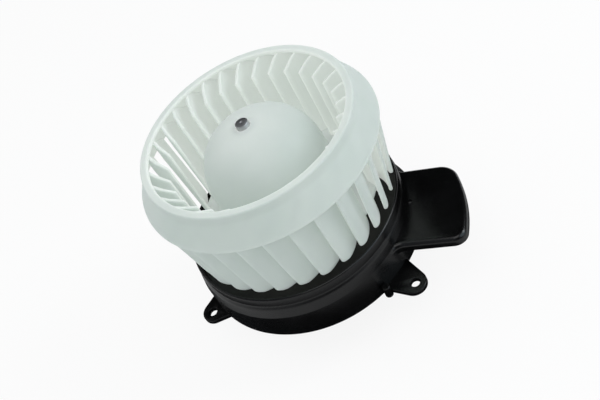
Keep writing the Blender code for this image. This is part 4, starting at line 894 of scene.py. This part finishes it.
def dress_nodes():
    zinc = finish("zinc_plated_steel", (0.50, 0.50, 0.47), (0.62, 0.61, 0.58), 0.34, 1.0, blotch=160.0,
                  grain=1800.0, depth=0.00001, spread=0.1)
    spring = finish("spring_steel", (0.40, 0.40, 0.41), (0.52, 0.52, 0.53), 0.3, 1.0, blotch=200.0)
    drawn = finish("drawn_can_steel", (0.47, 0.47, 0.45), (0.58, 0.58, 0.56), 0.36, 1.0, blotch=90.0,
                   stretch=(1.0, 1.0, 0.15), depth=0.000012, spread=0.1)
    core = finish("stacked_core_steel", (0.22, 0.22, 0.23), (0.36, 0.36, 0.37), 0.45, 1.0,
                  stripes=(320.0, "Z", 0.00008))
    coils = finish("enamelled_copper_wire", (0.42, 0.13, 0.04), (0.62, 0.24, 0.08), 0.32, 1.0,
                   blotch=300.0, stripes=(260.0, "DIAGONAL", 0.0003))
    bars = finish("commutator_copper", (0.60, 0.30, 0.17), (0.75, 0.42, 0.26), 0.3, 1.0,
                  stretch=(1.0, 1.0, 20.0))
    nylon = finish("nylon_washer_plastic", (0.68, 0.65, 0.55), (0.78, 0.75, 0.66), 0.5, blotch=150.0)
    brass = finish("contact_brass", (0.58, 0.46, 0.22), (0.70, 0.58, 0.32), 0.32, 1.0, blotch=180.0)
    bronze = finish("sintered_bronze", (0.36, 0.23, 0.12), (0.50, 0.34, 0.19), 0.52, 1.0, blotch=300.0,
                    grain=2600.0, depth=0.00005)
    rubber = finish("black_rubber", (0.014, 0.014, 0.014), (0.026, 0.026, 0.027), 0.8, blotch=130.0,
                    grain=1700.0, depth=0.00006)
    ferrite = finish("ferrite", (0.040, 0.040, 0.044), (0.062, 0.062, 0.066), 0.62, blotch=220.0,
                     grain=2400.0, depth=0.00005)
    card = finish("brush_plate_resin", (0.085, 0.055, 0.03), (0.125, 0.088, 0.05), 0.55, blotch=140.0)
    carbon = finish("brush_carbon", (0.022, 0.022, 0.024), (0.038, 0.038, 0.041), 0.5, blotch=260.0,
                    grain=2600.0, depth=0.00004)
    cover = black_plastic("black_cover_plastic", 0.014, 0.46, 1300.0)
    finishes = {
        "motor_cover": cover, "cover_screw_1": zinc, "cover_screw_2": zinc, "cover_screw_3": zinc,
        "terminal_1": brass, "terminal_2": brass, "motor_can": drawn, "end_plate": drawn,
        "lower_bearing": bronze, "upper_bearing": bronze, "lower_bearing_clip": spring,
        "upper_bearing_clip": spring, "lower_isolator": rubber, "upper_isolator": rubber,
        "magnet_1": ferrite, "magnet_2": ferrite, "magnet_spring_1": spring, "magnet_spring_2": spring,
        "brush_plate": card, "brush_holder_1": brass, "brush_holder_2": brass, "brush_1": carbon,
        "brush_2": carbon, "brush_spring_1": spring, "brush_spring_2": spring, "choke_1": coils,
        "choke_2": coils, "armature_core": core, "armature_winding": coils, "commutator": bars,
        "lower_thrust_washer": nylon, "upper_thrust_washer": nylon,
    }
    for name, coat in finishes.items():
        mesh = NODES[name].data
        mesh.materials.clear()
        mesh.materials.append(coat)


# Stage

def build_floor():
    builder = bmesh.new()
    bmesh.ops.create_grid(builder, x_segments=FLOOR_GRID, y_segments=FLOOR_GRID, size=FLOOR_HALF)
    mesh = bpy.data.meshes.new("floor")
    builder.to_mesh(mesh)
    builder.free()
    floor = new_object("floor", mesh)
    made = bpy.data.materials.new("pale_floor")
    made.use_nodes = True
    tree = made.node_tree
    tree.nodes.clear()
    out = node(tree, "ShaderNodeOutputMaterial")
    matt = node(tree, "ShaderNodeBsdfDiffuse")
    paths = node(tree, "ShaderNodeLightPath")
    # Painted shadow: glossy rays see the floor dark close to the base, so the base reflects shade
    # there
    tone = node(tree, "ShaderNodeMix", data_type="RGBA")
    tone.inputs["A"].default_value = FLOOR_TONE
    tone.inputs["B"].default_value = FLOOR_PAINTED_SHADOW_TONE
    place = node(tree, "ShaderNodeTexCoord")
    distance = node(tree, "ShaderNodeVectorMath", operation="LENGTH")
    tree.links.new(place.outputs["Object"], distance.inputs[0])
    close = node(tree, "ShaderNodeMapRange", interpolation_type="SMOOTHSTEP")
    close.inputs["From Min"].default_value = FLOOR_PAINTED_SHADOW_END_R
    close.inputs["From Max"].default_value = FLOOR_PAINTED_SHADOW_R
    tree.links.new(distance.outputs["Value"], close.inputs["Value"])
    shade = node(tree, "ShaderNodeMath", operation="MULTIPLY")
    tree.links.new(paths.outputs["Is Glossy Ray"], shade.inputs[0])
    tree.links.new(close.outputs["Result"], shade.inputs[1])
    tree.links.new(shade.outputs[0], tone.inputs["Factor"])
    tree.links.new(tone.outputs["Result"], matt.inputs["Color"])
    glow = node(tree, "ShaderNodeEmission")
    glow.inputs["Strength"].default_value = 1.0
    seen = node(tree, "ShaderNodeMath", operation="MAXIMUM")
    share = node(tree, "ShaderNodeMath", operation="MULTIPLY")
    share.inputs[1].default_value = FLOOR_GLOW_SHARE
    tree.links.new(paths.outputs["Is Camera Ray"], seen.inputs[0])
    tree.links.new(paths.outputs["Is Transmission Ray"], seen.inputs[1])
    tree.links.new(seen.outputs[0], share.inputs[0])
    mix = node(tree, "ShaderNodeMixShader")
    tree.links.new(share.outputs[0], mix.inputs[0])
    tree.links.new(matt.outputs[0], mix.inputs[1])
    tree.links.new(glow.outputs[0], mix.inputs[2])
    tree.links.new(mix.outputs[0], out.inputs[0])
    mesh.materials.append(made)


def soft_light(name, place, size, power, colour):
    lamp = bpy.data.lights.new(name, "AREA")
    lamp.shape = "RECTANGLE"
    lamp.size = size[0]
    lamp.size_y = size[1]
    lamp.energy = power
    lamp.color = colour
    item = bpy.data.objects.new(name, lamp)
    bpy.context.scene.collection.objects.link(item)
    item.location = place
    item.rotation_euler = (Vector(LAMP_TARGET) - Vector(place)).to_track_quat("-Z", "Y").to_euler()


def soft_boxes(tree):
    """Colour of the room that gloss shows: dark, with a soft box in front and one at the right."""
    place = node(tree, "ShaderNodeTexCoord")
    colour = None
    for azimuth, height, edge, middle, tone in SOFT_BOXES:
        near = node(tree, "ShaderNodeVectorMath", operation="DOT_PRODUCT")
        near.inputs[1].default_value = polar(math.cos(math.radians(height)), azimuth,
                                             math.sin(math.radians(height)))
        tree.links.new(place.outputs["Generated"], near.inputs[0])
        share = node(tree, "ShaderNodeMapRange", interpolation_type="SMOOTHSTEP")
        share.inputs["From Min"].default_value = math.cos(math.radians(edge))
        share.inputs["From Max"].default_value = math.cos(math.radians(middle))
        tree.links.new(near.outputs["Value"], share.inputs["Value"])
        mix = node(tree, "ShaderNodeMix", data_type="RGBA")
        mix.inputs["A"].default_value = ROOM_TONE
        if colour:
            tree.links.new(colour, mix.inputs["A"])
        mix.inputs["B"].default_value = tone
        tree.links.new(share.outputs["Result"], mix.inputs["Factor"])
        colour = mix.outputs["Result"]
    return colour


def build_stage():
    build_floor()
    world = bpy.data.worlds.new("studio")
    world.use_nodes = True
    bpy.context.scene.world = world
    tree = world.node_tree
    light = tree.nodes["Background"]
    light.inputs["Color"].default_value = ROOM_LIGHT
    light.inputs["Strength"].default_value = ROOM_STRENGTH
    mirror_room = node(tree, "ShaderNodeBackground")
    tree.links.new(soft_boxes(tree), mirror_room.inputs["Color"])
    plain = node(tree, "ShaderNodeBackground")
    plain.inputs["Color"].default_value = BACKDROP
    plain.inputs["Strength"].default_value = 1.0
    paths = node(tree, "ShaderNodeLightPath")
    mirrored = node(tree, "ShaderNodeMixShader")
    tree.links.new(paths.outputs["Is Glossy Ray"], mirrored.inputs[0])
    tree.links.new(light.outputs[0], mirrored.inputs[1])
    tree.links.new(mirror_room.outputs[0], mirrored.inputs[2])
    mix = node(tree, "ShaderNodeMixShader")
    tree.links.new(paths.outputs["Is Camera Ray"], mix.inputs[0])
    tree.links.new(mirrored.outputs[0], mix.inputs[1])
    tree.links.new(plain.outputs[0], mix.inputs[2])
    tree.links.new(mix.outputs[0], tree.nodes["World Output"].inputs[0])
    for lamp in LAMPS:
        soft_light(*lamp)


def build_camera():
    camera = bpy.data.cameras.new("camera")
    camera.lens = CAMERA_LENS
    camera.sensor_width = CAMERA_SENSOR
    item = bpy.data.objects.new("camera", camera)
    bpy.context.scene.collection.objects.link(item)
    item.matrix_world = CAMERA_PLACE
    bpy.context.scene.camera = item


build_wheel()
build_shaft()
build_base()
dress_nodes()
build_stage()
build_camera()
bpy.context.scene.view_settings.view_transform = "Standard"
